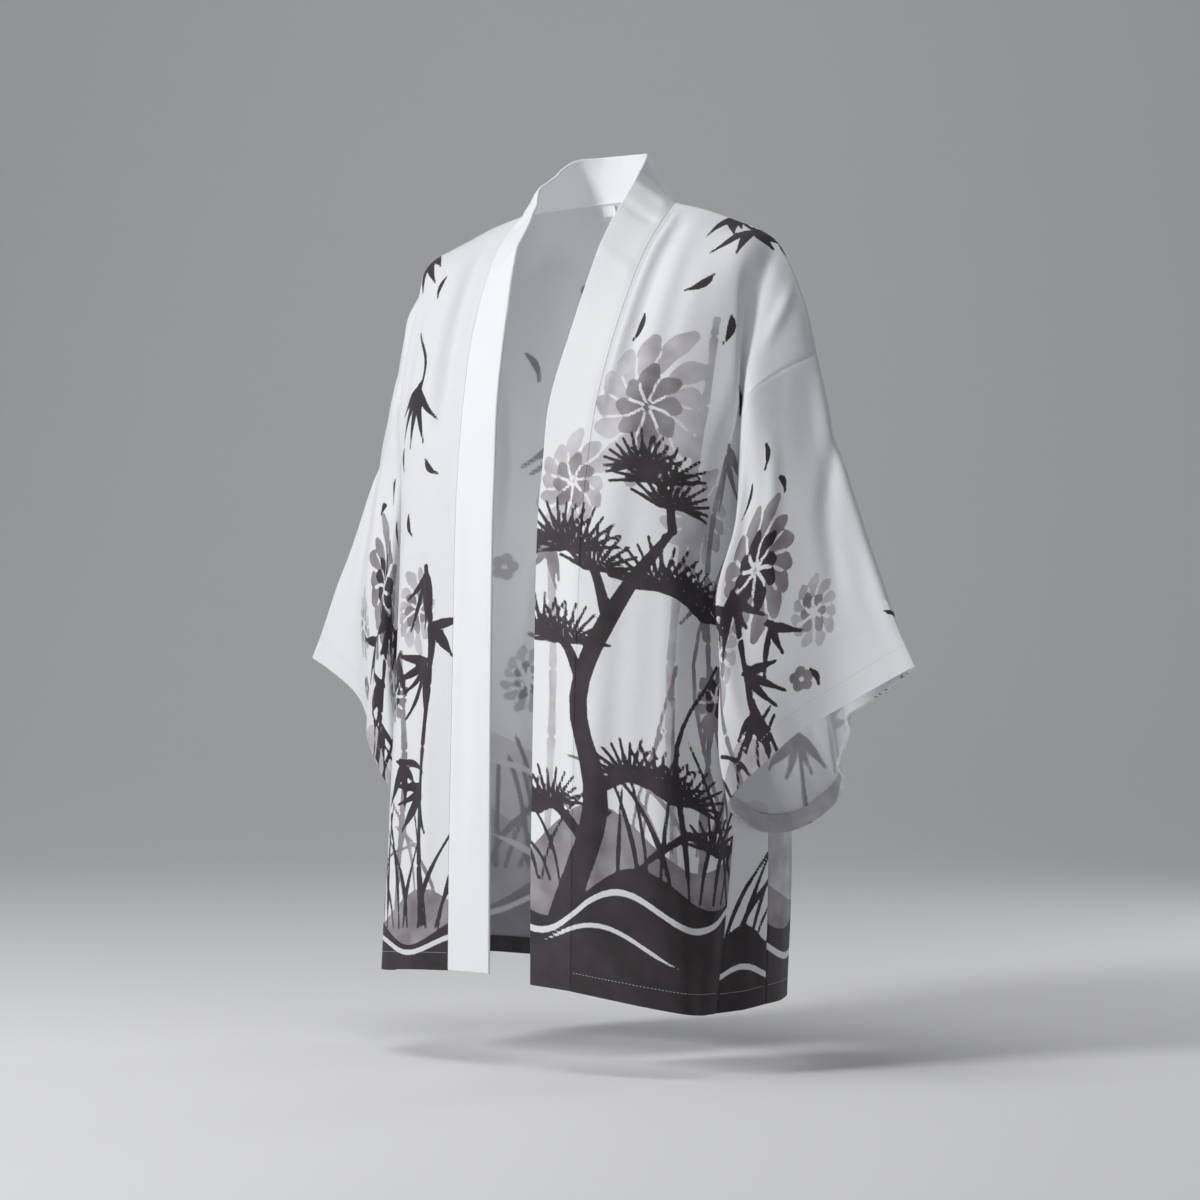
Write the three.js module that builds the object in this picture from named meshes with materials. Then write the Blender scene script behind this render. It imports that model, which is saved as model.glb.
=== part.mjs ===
import * as THREE from 'three'

// An open haori-style kimono jacket, filled out and held up at the shoulders.
// X runs to the wearer's left, Y to the back, Z up. The origin lies midway between
// the two points where the collar seam crosses the shoulders.

// Driving sizes, mm
const CLOTH = 1.6            // wall of a single panel
const HEM_CLOTH = 2.6        // wall where the cloth is turned up twice
const HEM_DEPTH = 16         // height of the turned-up hem
const BAND = 3               // wall of the folded and interfaced collar band
const SEAM_GAP = 0.3         // clear space between neighbouring pieces
const ARMHOLE_STEP = 0.6     // the sleeve also stands off sideways, for the sharp fold under the arm
const RIGHT_HEM_LIFT = { front: 6, side: 20 }   // the wearer's right hangs this much higher
const WAIST_Z = -330         // level of the underarm, where the lift begins
const HEM_Z = -780
const SIDE_X = 185           // where the full lift is reached
const LABEL = { wide: 16, tall: 11, thick: 1, aside: -20 }

// Shape of a section between its table points: how late it turns towards the side, how
// the shoulder slopes, and how far the upper arm swells away from the line x = ARM_FROM,
// as a share of the way from the valley to the armhole seam
const TURN = 2.4
const SHOULDER_SLOPE = 1.25
const ARM_SWELL = 0.05
const ARM_FROM = 150

// Front sections from the shoulder to the hem, as [x, y, z].
// brim: free edge of the collar band. collar: its seam. corner: where the chest turns
// to the side. valley: bottom of the crease beside the arm, or the side below the arm.
// edge: armhole seam down to the underarm, then the gusset seam.
const FRONT = [
  { brim: [58, -24, 20], collar: [92, 0, 0], corner: [194, 0, -34], valley: [217, 0, -53], edge: [256, 0, -155] },
  { brim: [52, -45, -11], collar: [95, -30, -24], corner: [196, -29, -50], valley: [212, -20, -72], edge: [251, -12, -161] },
  { brim: [50, -73, -51], collar: [93, -60, -61], corner: [195, -45, -80], valley: [203, -33, -105], edge: [238, -32, -172] },
  { brim: [41, -102, -125], collar: [88, -95, -131], corner: [201, -57, -142], valley: [199, -42, -155], edge: [218, -58, -196] },
  { brim: [32, -126, -197], collar: [82, -117, -200], corner: [204, -66, -207], valley: [201, -50, -212], edge: [202, -50, -232] },
  { brim: [29, -134, -263], collar: [79, -129, -265], corner: [193, -74, -270], valley: [188, -54, -273], edge: [190, -34, -280] },
  { brim: [27, -140, -329], collar: [77, -136, -330], corner: [183, -86, -330], valley: [186, -52, -330], edge: [188, -12, -330] },
  { brim: [26, -144, -479], collar: [75, -143, -480], corner: [178, -104, -485], valley: [186, -68, -486], edge: [194, -34, -488] },
  { brim: [25, -147, -638], collar: [75, -148, -640], corner: [180, -117, -647], valley: [188, -88, -648], edge: [194, -56, -650] },
  { brim: [25, -148, -761], collar: [75, -150, -764], corner: [184, -121, -781], valley: [189, -99, -784], edge: [191, -76, -784] },
]

// Back sections on the same levels. middle: the centre back line.
const BACK = [
  { middle: [0, 44, 10], corner: [194, 0, -34], valley: [217, 0, -53], edge: [256, 0, -155] },
  { middle: [0, 58, -20], corner: [197, 27, -50], valley: [211, 19, -76], edge: [250, 12, -161] },
  { middle: [0, 72, -55], corner: [200, 43, -80], valley: [206, 30, -106], edge: [237, 34, -174] },
  { middle: [0, 92, -125], corner: [203, 52, -143], valley: [203, 36, -158], edge: [219, 55, -203] },
  { middle: [0, 102, -198], corner: [202, 56, -207], valley: [201, 42, -213], edge: [204, 46, -238] },
  { middle: [0, 104, -262], corner: [193, 57, -268], valley: [189, 44, -272], edge: [191, 31, -284] },
  { middle: [0, 102, -330], corner: [184, 57, -330], valley: [187, 38, -330], edge: [188, 10, -330] },
  { middle: [0, 98, -480], corner: [186, 54, -482], valley: [197, 30, -483], edge: [199, 0, -484] },
  { middle: [0, 99, -638], corner: [190, 56, -642], valley: [204, 28, -644], edge: [206, -8, -645] },
  { middle: [0, 102, -768], corner: [185, 55, -777], valley: [200, 26, -779], edge: [205, -12, -780] },
]

// Neck curve of the back from its centre to the shoulder, with the brim of the band above it
const NECK = [
  { brim: [0, 38, 57], seam: [0, 44, 10] },
  { brim: [25, 33, 56], seam: [36, 43, 9.5] },
  { brim: [46, 14.5, 51], seam: [66, 32, 7] },
]

// Middle line of the gusset: underarm, two levels and the hem
const GUSSET = [[190, -1, -331], [198, -17, -486], [203, -32, -648], [200, -44, -783]]

// Sleeve rings beyond the armhole. Every ring has one point for each armhole section:
// down the front (front), under the arm (under) and up the back (back).
const SLEEVE = [
  {
    front: [[276, -3, -226], [264, -18, -236], [248, -40, -254], [230, -58, -280], [209, -68, -312],
      [204, -58, -352], [207, -26, -396]],
    under: [209, -7, -400],
    back: [[210, 9, -398], [211, 34, -358], [218, 50, -318], [232, 52, -282], [250, 37, -252], [266, 16, -234]],
  },
  {
    front: [[302, -5, -297], [288, -18, -308], [266, -40, -330], [240, -66, -360], [204, -88, -400],
      [201, -74, -440], [205, -38, -468]],
    under: [207, -15, -474],
    back: [[210, 8, -472], [218, 34, -445], [232, 48, -405], [250, 46, -365], [270, 32, -330], [288, 12, -307]],
  },
  {
    front: [[332, -8, -376], [318, -16, -388], [288, -32, -412], [258, -56, -440], [224, -82, -474],
      [198, -86, -515], [206, -48, -540]],
    under: [211, -17, -549],
    back: [[219, 12, -545], [238, 40, -520], [252, 46, -478], [268, 38, -440], [294, 24, -412], [318, 6, -388]],
  },
  {
    front: [[370, -8, -454], [345, -12, -466], [300, -20, -491], [267, -42, -513], [246, -66, -540],
      [210, -82, -581], [209, -50, -603]],
    under: [214, -22, -614],
    back: [[229, 14, -611], [254, 44, -583], [260, 46, -550], [265, 36, -508], [297, 20, -491], [331, 4, -477]],
  },
]

// Steps between neighbouring table points
const STEPS = { across: 2, neck: 1, armhole: 2, body: 3, sleeve: 3, band: 3 }
const ARMHOLE_ROWS = 6       // table intervals from the shoulder to the underarm

const vec = ([x, y, z]) => new THREE.Vector3(x, y, z)
const mix = (a, b, f) => a.clone().lerp(b, f)
const clamp01 = (x) => Math.min(1, Math.max(0, x))

// A smooth curve through points, at a place counted in table intervals
function along(points, place, closed = false) {
  const last = points.length - 1
  const i = closed ? Math.floor(place) : Math.min(Math.floor(place), last - 1)
  const f = place - i
  const at = (k) => {
    if (closed) return points[(k + points.length) % points.length]
    if (k < 0) return mix(points[1], points[0], 2)
    if (k > last) return mix(points[last - 1], points[last], 2)
    return points[k]
  }
  const [a, b, c, d] = [at(i - 1), at(i), at(i + 1), at(i + 2)]
  const term = (w, x, y, z) => 0.5 * (2 * x + (y - w) * f + (2 * w - 5 * x + 4 * y - z) * f * f
    + (3 * x - w - 3 * y + z) * f ** 3)
  return new THREE.Vector3(term(a.x, b.x, c.x, d.x), term(a.y, b.y, c.y, d.y), term(a.z, b.z, c.z, d.z))
}

// Places along a table, with a number of steps for each interval
function places(steps) {
  const list = [0]
  steps.forEach((n, i) => { for (let k = 1; k <= n; k++) list.push(i + k / n) })
  return list
}

// Points from the start of a section to its corner, at a share of the way
function chest(start, corner, share) {
  return new THREE.Vector3(
    start.x + (corner.x - start.x) * share,
    start.y + (corner.y - start.y) * share ** TURN,
    start.z + (corner.z - start.z) * share ** SHOULDER_SLOPE,
  )
}

// The upper arm between the valley and the edge, swelling away from the body
function arm(valley, edge) {
  const middle = mix(valley, edge, 0.5)
  const outwards = new THREE.Vector3(middle.x - ARM_FROM, middle.y, 0).normalize()
  return middle.addScaledVector(outwards, ARM_SWELL * valley.distanceTo(edge))
}

function frontSection(row) {
  const [collar, corner, valley, edge] = [row.collar, row.corner, row.valley, row.edge].map(vec)
  return [collar, chest(collar, corner, 0.37), chest(collar, corner, 0.73), corner, valley,
    arm(valley, edge), edge]
}

function backSection(row, index) {
  const [middle, corner, valley, edge] = [row.middle, row.corner, row.valley, row.edge].map(vec)
  const shares = [0.18, 0.34, 0.475, 0.65, 0.83]
  const inner = shares.map((share) => chest(middle, corner, share))
  if (index === 0) {
    const neckPoint = vec(FRONT[0].collar)
    inner[0] = vec(NECK[1].seam)
    inner[1] = vec(NECK[2].seam)
    inner[2] = neckPoint
    inner[3] = chest(neckPoint, corner, 0.37)
    inner[4] = chest(neckPoint, corner, 0.73)
  }
  return [middle, ...inner, corner, valley, arm(valley, edge), edge]
}

const LAST_INTERVAL = 145    // length of cloth in the last table interval, mm
const SHORT_ROW = 1 - HEM_DEPTH / LAST_INTERVAL     // where the hem begins in it
const bodyPlaces = places([...Array(ARMHOLE_ROWS).fill(STEPS.armhole), STEPS.body, STEPS.body, STEPS.body])
const LAST_ROW = FRONT.length - 1

// Places down a panel, with two close rows where the hem begins
function withHem(list, last) {
  const turn = last - 1 + SHORT_ROW
  return [...list.filter((p) => p < turn - 0.05 && p < last), turn, turn + 0.01, last]
}
const downPanel = withHem(bodyPlaces, LAST_ROW)
const downArmhole = downPanel.filter((p) => p <= ARMHOLE_ROWS)
const downSide = downPanel.filter((p) => p >= ARMHOLE_ROWS)
const isHem = (place, last) => place > last - 1 + SHORT_ROW + 0.005

// The wearer's right side: mirrored, and lifted towards its hem
function sided(point, side) {
  if (side > 0) return point
  const down = clamp01((WAIST_Z - point.z) / (WAIST_Z - HEM_Z))
  const start = point.y < 0 ? RIGHT_HEM_LIFT.front : 0
  const lift = start + (RIGHT_HEM_LIFT.side - start) * clamp01(point.x / SIDE_X)
  return new THREE.Vector3(-point.x, point.y, point.z + lift * down * down)
}

// A grid of points: one row of the surface for each place down, one point for each place across
function surface(sections, down, across) {
  return down.map((v) => across.map((u) => along(sections.map((s) => along(s, u)), v)))
}

const frontSections = FRONT.map(frontSection)
const backSections = BACK.map(backSection)
const acrossFront = places(Array(6).fill(STEPS.across))
const acrossBack = places([...Array(3).fill(STEPS.neck), ...Array(6).fill(STEPS.across)])
const frontGrid = surface(frontSections, downPanel, acrossFront)
const backGrid = surface(backSections, downPanel, acrossBack)
const shoulderStart = acrossBack.indexOf(NECK.length)
frontGrid[0].forEach((p, i) => { backGrid[0][shoulderStart + i] = p.clone() })
const lastOf = (row) => row[row.length - 1]

// The gusset runs between the two side seams, whose points it shares
function gussetGrid() {
  const middle = GUSSET.map(vec)
  return downPanel.map((v, j) => (v < ARMHOLE_ROWS ? null
    : [lastOf(frontGrid[j]), along(middle, v - ARMHOLE_ROWS), lastOf(backGrid[j])])).filter(Boolean)
}

// The sleeve starts on the armhole seam and runs through its rings to the cuff
function sleeveGrid() {
  const under = downArmhole.length - 1
  const armhole = [
    ...downArmhole.map((v, j) => lastOf(frontGrid[j])),
    vec(GUSSET[0]),
    ...downArmhole.map((v, j) => lastOf(backGrid[under - j])),
  ].slice(0, -1)
  const count = armhole.length
  const rings = SLEEVE.map((ring) => {
    const points = [...ring.front, ring.under, ...ring.back].map(vec)
    const around = [...downArmhole, ARMHOLE_ROWS + 1,
      ...downArmhole.map((v) => ARMHOLE_ROWS + 2 + v)].slice(0, count)
    return around.map((u) => along(points, u, true))
  })
  const lengthwise = [armhole, ...rings]
  const down = withHem(places(Array(SLEEVE.length).fill(STEPS.sleeve)), SLEEVE.length)
  return { down, grid: down.map((v) => armhole.map((_, i) => along(lengthwise.map((r) => r[i]), v))) }
}

// The collar band from the left front hem, round the back of the neck, to the right front hem
function collarGrid() {
  const brimFront = FRONT.map((row) => vec(row.brim))
  const leftFront = downPanel.map((v, j) => [frontGrid[j][0], along(brimFront, v)]).reverse()
  const brimNeck = [...NECK.map((row) => vec(row.brim)), brimFront[0]]
  const neckStations = acrossBack.filter((u) => u < 3)
  const leftNeck = neckStations.map((u, i) => [backGrid[0][i], along(brimNeck, u)]).reverse()
  const left = [...leftFront, ...leftNeck]
  const right = left.slice(0, -1).reverse().map((pair) => pair.map((p) => sided(p, -1)))
  const across = Array.from({ length: STEPS.band + 1 }, (_, k) => k / STEPS.band)
  return [...left, ...right].map(([seam, brim]) => across.map((f) => mix(seam, brim, f)))
}

// Every piece as a grid of middle-surface points with its wall thickness
const pieces = new Map()
const addPiece = (name, grid, thickness, options = {}) => pieces.set(name, { grid, thickness, ...options })
const mirrored = (grid) => grid.map((row) => row.map((p) => sided(p, -1)))
const panelWall = (j) => (isHem(downPanel[j], LAST_ROW) ? HEM_CLOTH : CLOTH)
const gussetWall = (j) => panelWall(j + downPanel.length - downSide.length)
const sleeve = sleeveGrid()
const sleeveWall = (j) => (isHem(sleeve.down[j], SLEEVE.length) ? HEM_CLOTH : CLOTH)
const gusset = gussetGrid()
const wholeBack = backGrid.map((row) => [...row.slice(1).reverse().map((p) => sided(p, -1)), ...row])

addPiece('front_left', frontGrid, panelWall)
addPiece('front_right', mirrored(frontGrid), panelWall, { flip: true })
addPiece('back', wholeBack, panelWall, { flip: true })
addPiece('gusset_left', gusset, gussetWall)
addPiece('gusset_right', mirrored(gusset), gussetWall, { flip: true })
addPiece('sleeve_left', sleeve.grid, sleeveWall, { ring: true, flip: true })
addPiece('sleeve_right', mirrored(sleeve.grid), sleeveWall, { ring: true })
addPiece('collar', collarGrid(), () => BAND)

// Seams share their direction outwards, so the walls on both sides of a seam meet squarely.
// Where the cloth turns back sharply, as under the arm, both walls are pinched at the seam.
const keyOf = (p) => `${p.x.toFixed(2)} ${p.y.toFixed(2)} ${p.z.toFixed(2)}`
const outwardAt = new Map()
for (const { grid, flip, ring } of pieces.values()) {
  const columns = grid[0].length
  for (let j = 0; j + 1 < grid.length; j++) {
    for (let i = 0; i + (ring ? 0 : 1) < columns; i++) {
      const k = (i + 1) % columns
      const corners = [grid[j][i], grid[j + 1][i], grid[j + 1][k], grid[j][k]]
      const normal = new THREE.Vector3().crossVectors(
        corners[2].clone().sub(corners[0]), corners[3].clone().sub(corners[1]))
      if (flip) normal.negate()
      for (const corner of corners) {
        const key = keyOf(corner)
        if (!outwardAt.has(key)) outwardAt.set(key, { sum: new THREE.Vector3(), total: 0 })
        outwardAt.get(key).sum.add(normal)
        outwardAt.get(key).total += normal.length()
      }
    }
  }
}
const PINCHED = 0.2         // least share of the wall left in the sharpest fold
const GENTLE = 1.3          // seams that turn less than this allows keep their whole wall
function outward(p) {
  const { sum, total } = outwardAt.get(keyOf(p))
  const share = Math.min(1, Math.max(PINCHED, GENTLE * sum.length() / total))
  return sum.clone().normalize().multiplyScalar(share)
}

// A point on the edge of a piece steps back from the seam by half of the gap
function steppedBack(grid, j, i, ring) {
  const point = grid[j][i].clone()
  const towards = (other) => point.addScaledVector(other.clone().sub(grid[j][i]).normalize(), SEAM_GAP / 2)
  if (ring && j === 0) point.x += Math.sign(point.x) * ARMHOLE_STEP
  if (j === 0) towards(grid[1][i])
  if (j === grid.length - 1) towards(grid[j - 1][i])
  if (!ring && i === 0) towards(grid[j][1])
  if (!ring && i === grid[0].length - 1) towards(grid[j][i - 1])
  return point
}

// A closed wall from a grid of middle-surface points
function wall({ grid, thickness, ring = false, flip = false }, directionAt = outward, middle = 0) {
  const rows = grid.length
  const columns = grid[0].length
  const position = []
  for (const sign of [1, -1]) {
    grid.forEach((row, j) => row.forEach((p, i) => {
      const shift = middle + sign * thickness(j) / 2
      position.push(...steppedBack(grid, j, i, ring).addScaledVector(directionAt(p), shift).toArray())
    }))
  }
  const outer = (j, i) => j * columns + (i % columns)
  const inner = (j, i) => outer(j, i) + rows * columns
  const index = []
  const quad = (a, b, c, d) => index.push(...(flip ? [a, c, b, a, d, c] : [a, b, c, a, c, d]))
  const wide = ring ? columns : columns - 1
  for (let j = 0; j + 1 < rows; j++) {
    for (let i = 0; i < wide; i++) {
      quad(outer(j, i), outer(j + 1, i), outer(j + 1, i + 1), outer(j, i + 1))
      quad(inner(j, i), inner(j, i + 1), inner(j + 1, i + 1), inner(j + 1, i))
    }
    if (!ring) {
      quad(outer(j, 0), inner(j, 0), inner(j + 1, 0), outer(j + 1, 0))
      quad(outer(j + 1, wide), inner(j + 1, wide), inner(j, wide), outer(j, wide))
    }
  }
  for (let i = 0; i < wide; i++) {
    quad(outer(0, i + 1), inner(0, i + 1), inner(0, i), outer(0, i))
    quad(outer(rows - 1, i), inner(rows - 1, i), inner(rows - 1, i + 1), outer(rows - 1, i + 1))
  }
  const geometry = new THREE.BufferGeometry()
  geometry.setAttribute('position', new THREE.Float32BufferAttribute(position, 3))
  geometry.setIndex(index)
  geometry.computeVertexNormals()
  return geometry
}

const finish = (name, color, roughness) =>
  Object.assign(new THREE.MeshStandardMaterial({ color, roughness, metalness: 0 }), { name })

const kimono = new THREE.Group()
kimono.name = 'kimono'
for (const [name, piece] of pieces) {
  const mesh = new THREE.Mesh(wall(piece), finish(name, name === 'collar' ? 0xf4f5f7 : 0xeceef1, 0.72))
  mesh.name = name
  kimono.add(mesh)
}

// The blank label hangs from the neck seam against the inside of the back
function neckLabel() {
  const lay = CLOTH / 2 + SEAM_GAP + LABEL.thick / 2
  const across = [-1, 0, 1].map((k) => LABEL.aside + k * LABEL.wide / 2)
  const down = [0.1, 0.5, 1].map((f) => f * LABEL.tall)
  const [top, below] = backGrid
  const onBack = (row, x) => mix(row[0], row[1], Math.abs(x) / row[1].x)
  const grid = down.map((drop) => across.map((x) => {
    const point = mix(onBack(top, x), onBack(below, x), drop / (top[0].z - below[0].z))
    return new THREE.Vector3(x, point.y, point.z)
  }))
  const outwards = new THREE.Vector3(0, 0.89, 0.45)      // square to the back below its neck
  return wall({ grid, thickness: () => LABEL.thick, flip: true }, () => outwards, -lay)
}
const label = new THREE.Mesh(neckLabel(), finish('label', 0xfafafa, 0.6))
label.name = 'neck_label'
kimono.add(label)

export default kimono
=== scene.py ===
import math

import bpy
import numpy as np
from mathutils import Matrix, Vector


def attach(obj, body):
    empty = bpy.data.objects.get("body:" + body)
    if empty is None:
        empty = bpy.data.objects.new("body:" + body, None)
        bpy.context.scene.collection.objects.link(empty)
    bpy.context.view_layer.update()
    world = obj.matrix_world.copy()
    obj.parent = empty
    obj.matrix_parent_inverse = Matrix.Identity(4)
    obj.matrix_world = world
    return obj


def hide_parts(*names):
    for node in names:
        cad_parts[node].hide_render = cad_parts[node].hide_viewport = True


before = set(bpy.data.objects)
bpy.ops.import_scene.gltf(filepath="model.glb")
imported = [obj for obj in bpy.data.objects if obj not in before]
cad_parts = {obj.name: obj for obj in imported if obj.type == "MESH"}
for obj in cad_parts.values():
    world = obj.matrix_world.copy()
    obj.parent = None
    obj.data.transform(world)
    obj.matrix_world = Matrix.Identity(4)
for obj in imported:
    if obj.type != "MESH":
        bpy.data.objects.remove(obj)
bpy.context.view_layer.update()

# An open haori jacket in printed polyester crepe, held up at the shoulders as if worn.
# X runs to the wearer's left, Y to the back and Z up. Lengths in tables are millimetres.

MM = 0.001
SIDES = ((1, "left"), (-1, "right"))
# Thickness of the cloth and of the doubled band, and the depth of the turned-in hems
CLOTH = 1.6
BAND = 3
HEM_DEPTH = 16
# Below the waist the wearer's right side hangs higher than the left, most of all at its side
WAIST_Z = -330
HEM_Z = -780
SIDE_X = 185
RIGHT_LIFT_FRONT = 6
RIGHT_LIFT_SIDE = 20
# Powers that say how late the chest turns to the side, and how late the shoulder drops
TURN = 2.4
SHOULDER_SLOPE = 1.25
# Over the arm the cloth swells away from an upright line at this x, by a share of its width
ARM_FROM = 150
ARM_SWELL = 0.05
# Sections below the shoulder's, down to the underarm and down to the hem
ARMHOLE_ROWS = 6
BODY_ROWS = 9
# Distance between a mesh's points
FINE = 2.6
FRONT_FINE = 2.25
BACK_FINE = FINE * 1.35

# Front sections from the shoulder to the hem
FRONT = [
    {"brim": [58, -24, 20], "collar": [92, 0, 0], "corner": [194, 0, -34],
     "valley": [217, 0, -53], "edge": [256, 0, -155]},
    {"brim": [52, -45, -11], "collar": [95, -30, -24], "corner": [196, -29, -50],
     "valley": [212, -20, -72], "edge": [251, -12, -161]},
    {"brim": [50, -73, -51], "collar": [93, -60, -61], "corner": [195, -45, -80],
     "valley": [203, -33, -105], "edge": [238, -32, -172]},
    {"brim": [41, -102, -125], "collar": [88, -95, -131], "corner": [201, -57, -142],
     "valley": [199, -42, -155], "edge": [218, -58, -196]},
    {"brim": [32, -126, -197], "collar": [82, -117, -200], "corner": [204, -66, -207],
     "valley": [201, -50, -212], "edge": [202, -50, -232]},
    {"brim": [29, -134, -263], "collar": [79, -129, -265], "corner": [193, -74, -270],
     "valley": [188, -54, -273], "edge": [190, -34, -280]},
    {"brim": [27, -140, -329], "collar": [77, -136, -330], "corner": [183, -86, -330],
     "valley": [186, -52, -330], "edge": [188, -12, -330]},
    {"brim": [26, -144, -479], "collar": [75, -143, -480], "corner": [178, -104, -485],
     "valley": [186, -68, -486], "edge": [194, -34, -488]},
    {"brim": [25, -147, -638], "collar": [75, -148, -640], "corner": [180, -117, -647],
     "valley": [188, -88, -648], "edge": [194, -56, -650]},
    {"brim": [25, -148, -761], "collar": [75, -150, -764], "corner": [184, -121, -781],
     "valley": [189, -99, -784], "edge": [191, -76, -784]},
]

# Back sections on the same levels
BACK = [
    {"middle": [0, 44, 10], "corner": [194, 0, -34],
     "valley": [217, 0, -53], "edge": [256, 0, -155]},
    {"middle": [0, 58, -20], "corner": [197, 27, -50],
     "valley": [211, 19, -76], "edge": [250, 12, -161]},
    {"middle": [0, 72, -55], "corner": [200, 43, -80],
     "valley": [206, 30, -106], "edge": [237, 34, -174]},
    {"middle": [0, 92, -125], "corner": [203, 52, -143],
     "valley": [203, 36, -158], "edge": [219, 55, -203]},
    {"middle": [0, 102, -198], "corner": [202, 56, -207],
     "valley": [201, 42, -213], "edge": [204, 46, -238]},
    {"middle": [0, 104, -262], "corner": [193, 57, -268],
     "valley": [189, 44, -272], "edge": [191, 31, -284]},
    {"middle": [0, 102, -330], "corner": [184, 57, -330],
     "valley": [187, 38, -330], "edge": [188, 10, -330]},
    {"middle": [0, 98, -480], "corner": [186, 54, -482],
     "valley": [197, 30, -483], "edge": [199, 0, -484]},
    {"middle": [0, 99, -638], "corner": [190, 56, -642],
     "valley": [204, 28, -644], "edge": [206, -8, -645]},
    {"middle": [0, 102, -768], "corner": [185, 55, -777],
     "valley": [200, 26, -779], "edge": [205, -12, -780]},
]

# Neck curve of the back, with the brim of the band above it
NECK = [
    {"brim": [0, 38, 57], "seam": [0, 44, 10]},
    {"brim": [25, 33, 56], "seam": [36, 43, 9.5]},
    {"brim": [46, 14.5, 51], "seam": [66, 32, 7]},
]

# Middle line of the gusset, from the underarm to the hem
GUSSET = [[190, -1, -331], [198, -17, -486], [203, -32, -648], [200, -44, -783]]
GUSSET_COLUMNS = 23

# Sleeve rings beyond the armhole
SLEEVE = [
    {"front": [[276, -3, -226], [264, -18, -236], [248, -40, -254], [230, -58, -280], [209, -68, -312],
               [204, -58, -352], [207, -26, -396]],
     "under": [209, -7, -400],
     "back": [[210, 9, -398], [211, 34, -358], [218, 50, -318], [232, 52, -282], [250, 37, -252],
              [266, 16, -234]]},
    {"front": [[302, -5, -297], [288, -18, -308], [266, -40, -330], [240, -66, -360], [204, -88, -400],
               [201, -74, -440], [205, -38, -468]],
     "under": [207, -15, -474],
     "back": [[210, 8, -472], [218, 34, -445], [232, 48, -405], [250, 46, -365], [270, 32, -330],
              [288, 12, -307]]},
    {"front": [[332, -8, -376], [318, -16, -388], [288, -32, -412], [258, -56, -440], [224, -82, -474],
               [198, -86, -515], [206, -48, -540]],
     "under": [211, -17, -549],
     "back": [[219, 12, -545], [238, 40, -520], [252, 46, -478], [268, 38, -440], [294, 24, -412],
              [318, 6, -388]]},
    {"front": [[370, -8, -454], [345, -12, -466], [300, -20, -491], [267, -42, -513], [246, -66, -540],
               [210, -82, -581], [209, -50, -603]],
     "under": [214, -22, -614],
     "back": [[229, 14, -611], [254, 44, -583], [260, 46, -550], [265, 36, -508], [297, 20, -491],
              [331, 4, -477]]},
]


# Curves and surfaces

def weights(count, place, closed=False):
    """Rows of weights that give a smooth curve through count points at each place."""
    place = np.atleast_1d(np.asarray(place, float))
    table = np.zeros((len(place), count))
    last = count - 1
    start = np.floor(place).astype(int)
    if not closed:
        start = np.clip(start, 0, last - 1)
    f = place - start
    shares = [
        0.5 * (-f + 2 * f**2 - f**3),
        0.5 * (2 - 5 * f**2 + 3 * f**3),
        0.5 * (f + 4 * f**2 - 3 * f**3),
        0.5 * (-(f**2) + f**3),
    ]
    rows = np.arange(len(place))
    for step, share in zip((-1, 0, 1, 2), shares):
        k = start + step
        if closed:
            np.add.at(table, (rows, k % count), share)
            continue
        inside = (k >= 0) & (k <= last)
        np.add.at(table, (rows[inside], k[inside]), share[inside])
        low = k < 0
        np.add.at(table, (rows[low], np.zeros(low.sum(), int)), 2 * share[low])
        np.add.at(table, (rows[low], np.ones(low.sum(), int)), -share[low])
        high = k > last
        np.add.at(table, (rows[high], np.full(high.sum(), last)), 2 * share[high])
        np.add.at(table, (rows[high], np.full(high.sum(), last - 1)), -share[high])
    return table


def chest(start, corner, share):
    """A point on the swell from the collar, or the back's middle, to the corner at the armhole."""
    start = np.array(start, float)
    corner = np.array(corner, float)
    way = np.array([share, share**TURN, share**SHOULDER_SLOPE])
    return start + (corner - start) * way


def arm(valley, edge):
    """The point halfway from the valley beside the chest to the armhole's edge, swelled out."""
    valley = np.array(valley, float)
    edge = np.array(edge, float)
    middle = (valley + edge) / 2
    out = np.array([middle[0] - ARM_FROM, middle[1], 0])
    return middle + out / np.linalg.norm(out) * ARM_SWELL * np.linalg.norm(valley - edge)


# Shares of the way to the corner where a section has its points in between
FRONT_SHARES = (0.37, 0.73)
BACK_SHARES = (0.18, 0.34, 0.475, 0.65, 0.83)


def front_section(row):
    inner = [chest(row["collar"], row["corner"], share) for share in FRONT_SHARES]
    return [row["collar"], *inner, row["corner"], row["valley"], arm(row["valley"], row["edge"]),
            row["edge"]]


def back_section(row, first):
    """The first section follows the neck seam, and then the front's shoulder."""
    inner = [chest(row["middle"], row["corner"], share) for share in BACK_SHARES]
    if first:
        neck_point = FRONT[0]["collar"]
        shoulder = [chest(neck_point, row["corner"], share) for share in FRONT_SHARES]
        inner = [NECK[1]["seam"], NECK[2]["seam"], neck_point, *shoulder]
    return [row["middle"], *inner, row["corner"], row["valley"], arm(row["valley"], row["edge"]),
            row["edge"]]


FRONT_POINTS = np.array([front_section(row) for row in FRONT], float)
BACK_POINTS = np.array([back_section(row, i == 0) for i, row in enumerate(BACK)], float)
GUSSET_POINTS = np.array(GUSSET, float)

# Places across, counted by a section's points: the front's armhole edge from its collar, and the
# end of the neck and the armhole edge from the back's middle
FRONT_EDGE = 6
BACK_NECK = 3
BACK_EDGE = 9
# Places round a sleeve, counted from the shoulder: down the front, under the arm and up the back
UNDER_ARM = ARMHOLE_ROWS + 1
RING = 2 * UNDER_ARM


def surface(table, down, across):
    """Points of a table of sections at every pair of down and across, in mm."""
    rows, columns = table.shape[:2]
    return np.einsum("vj,ui,jik->vuk", weights(rows, down), weights(columns, across), table)


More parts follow.
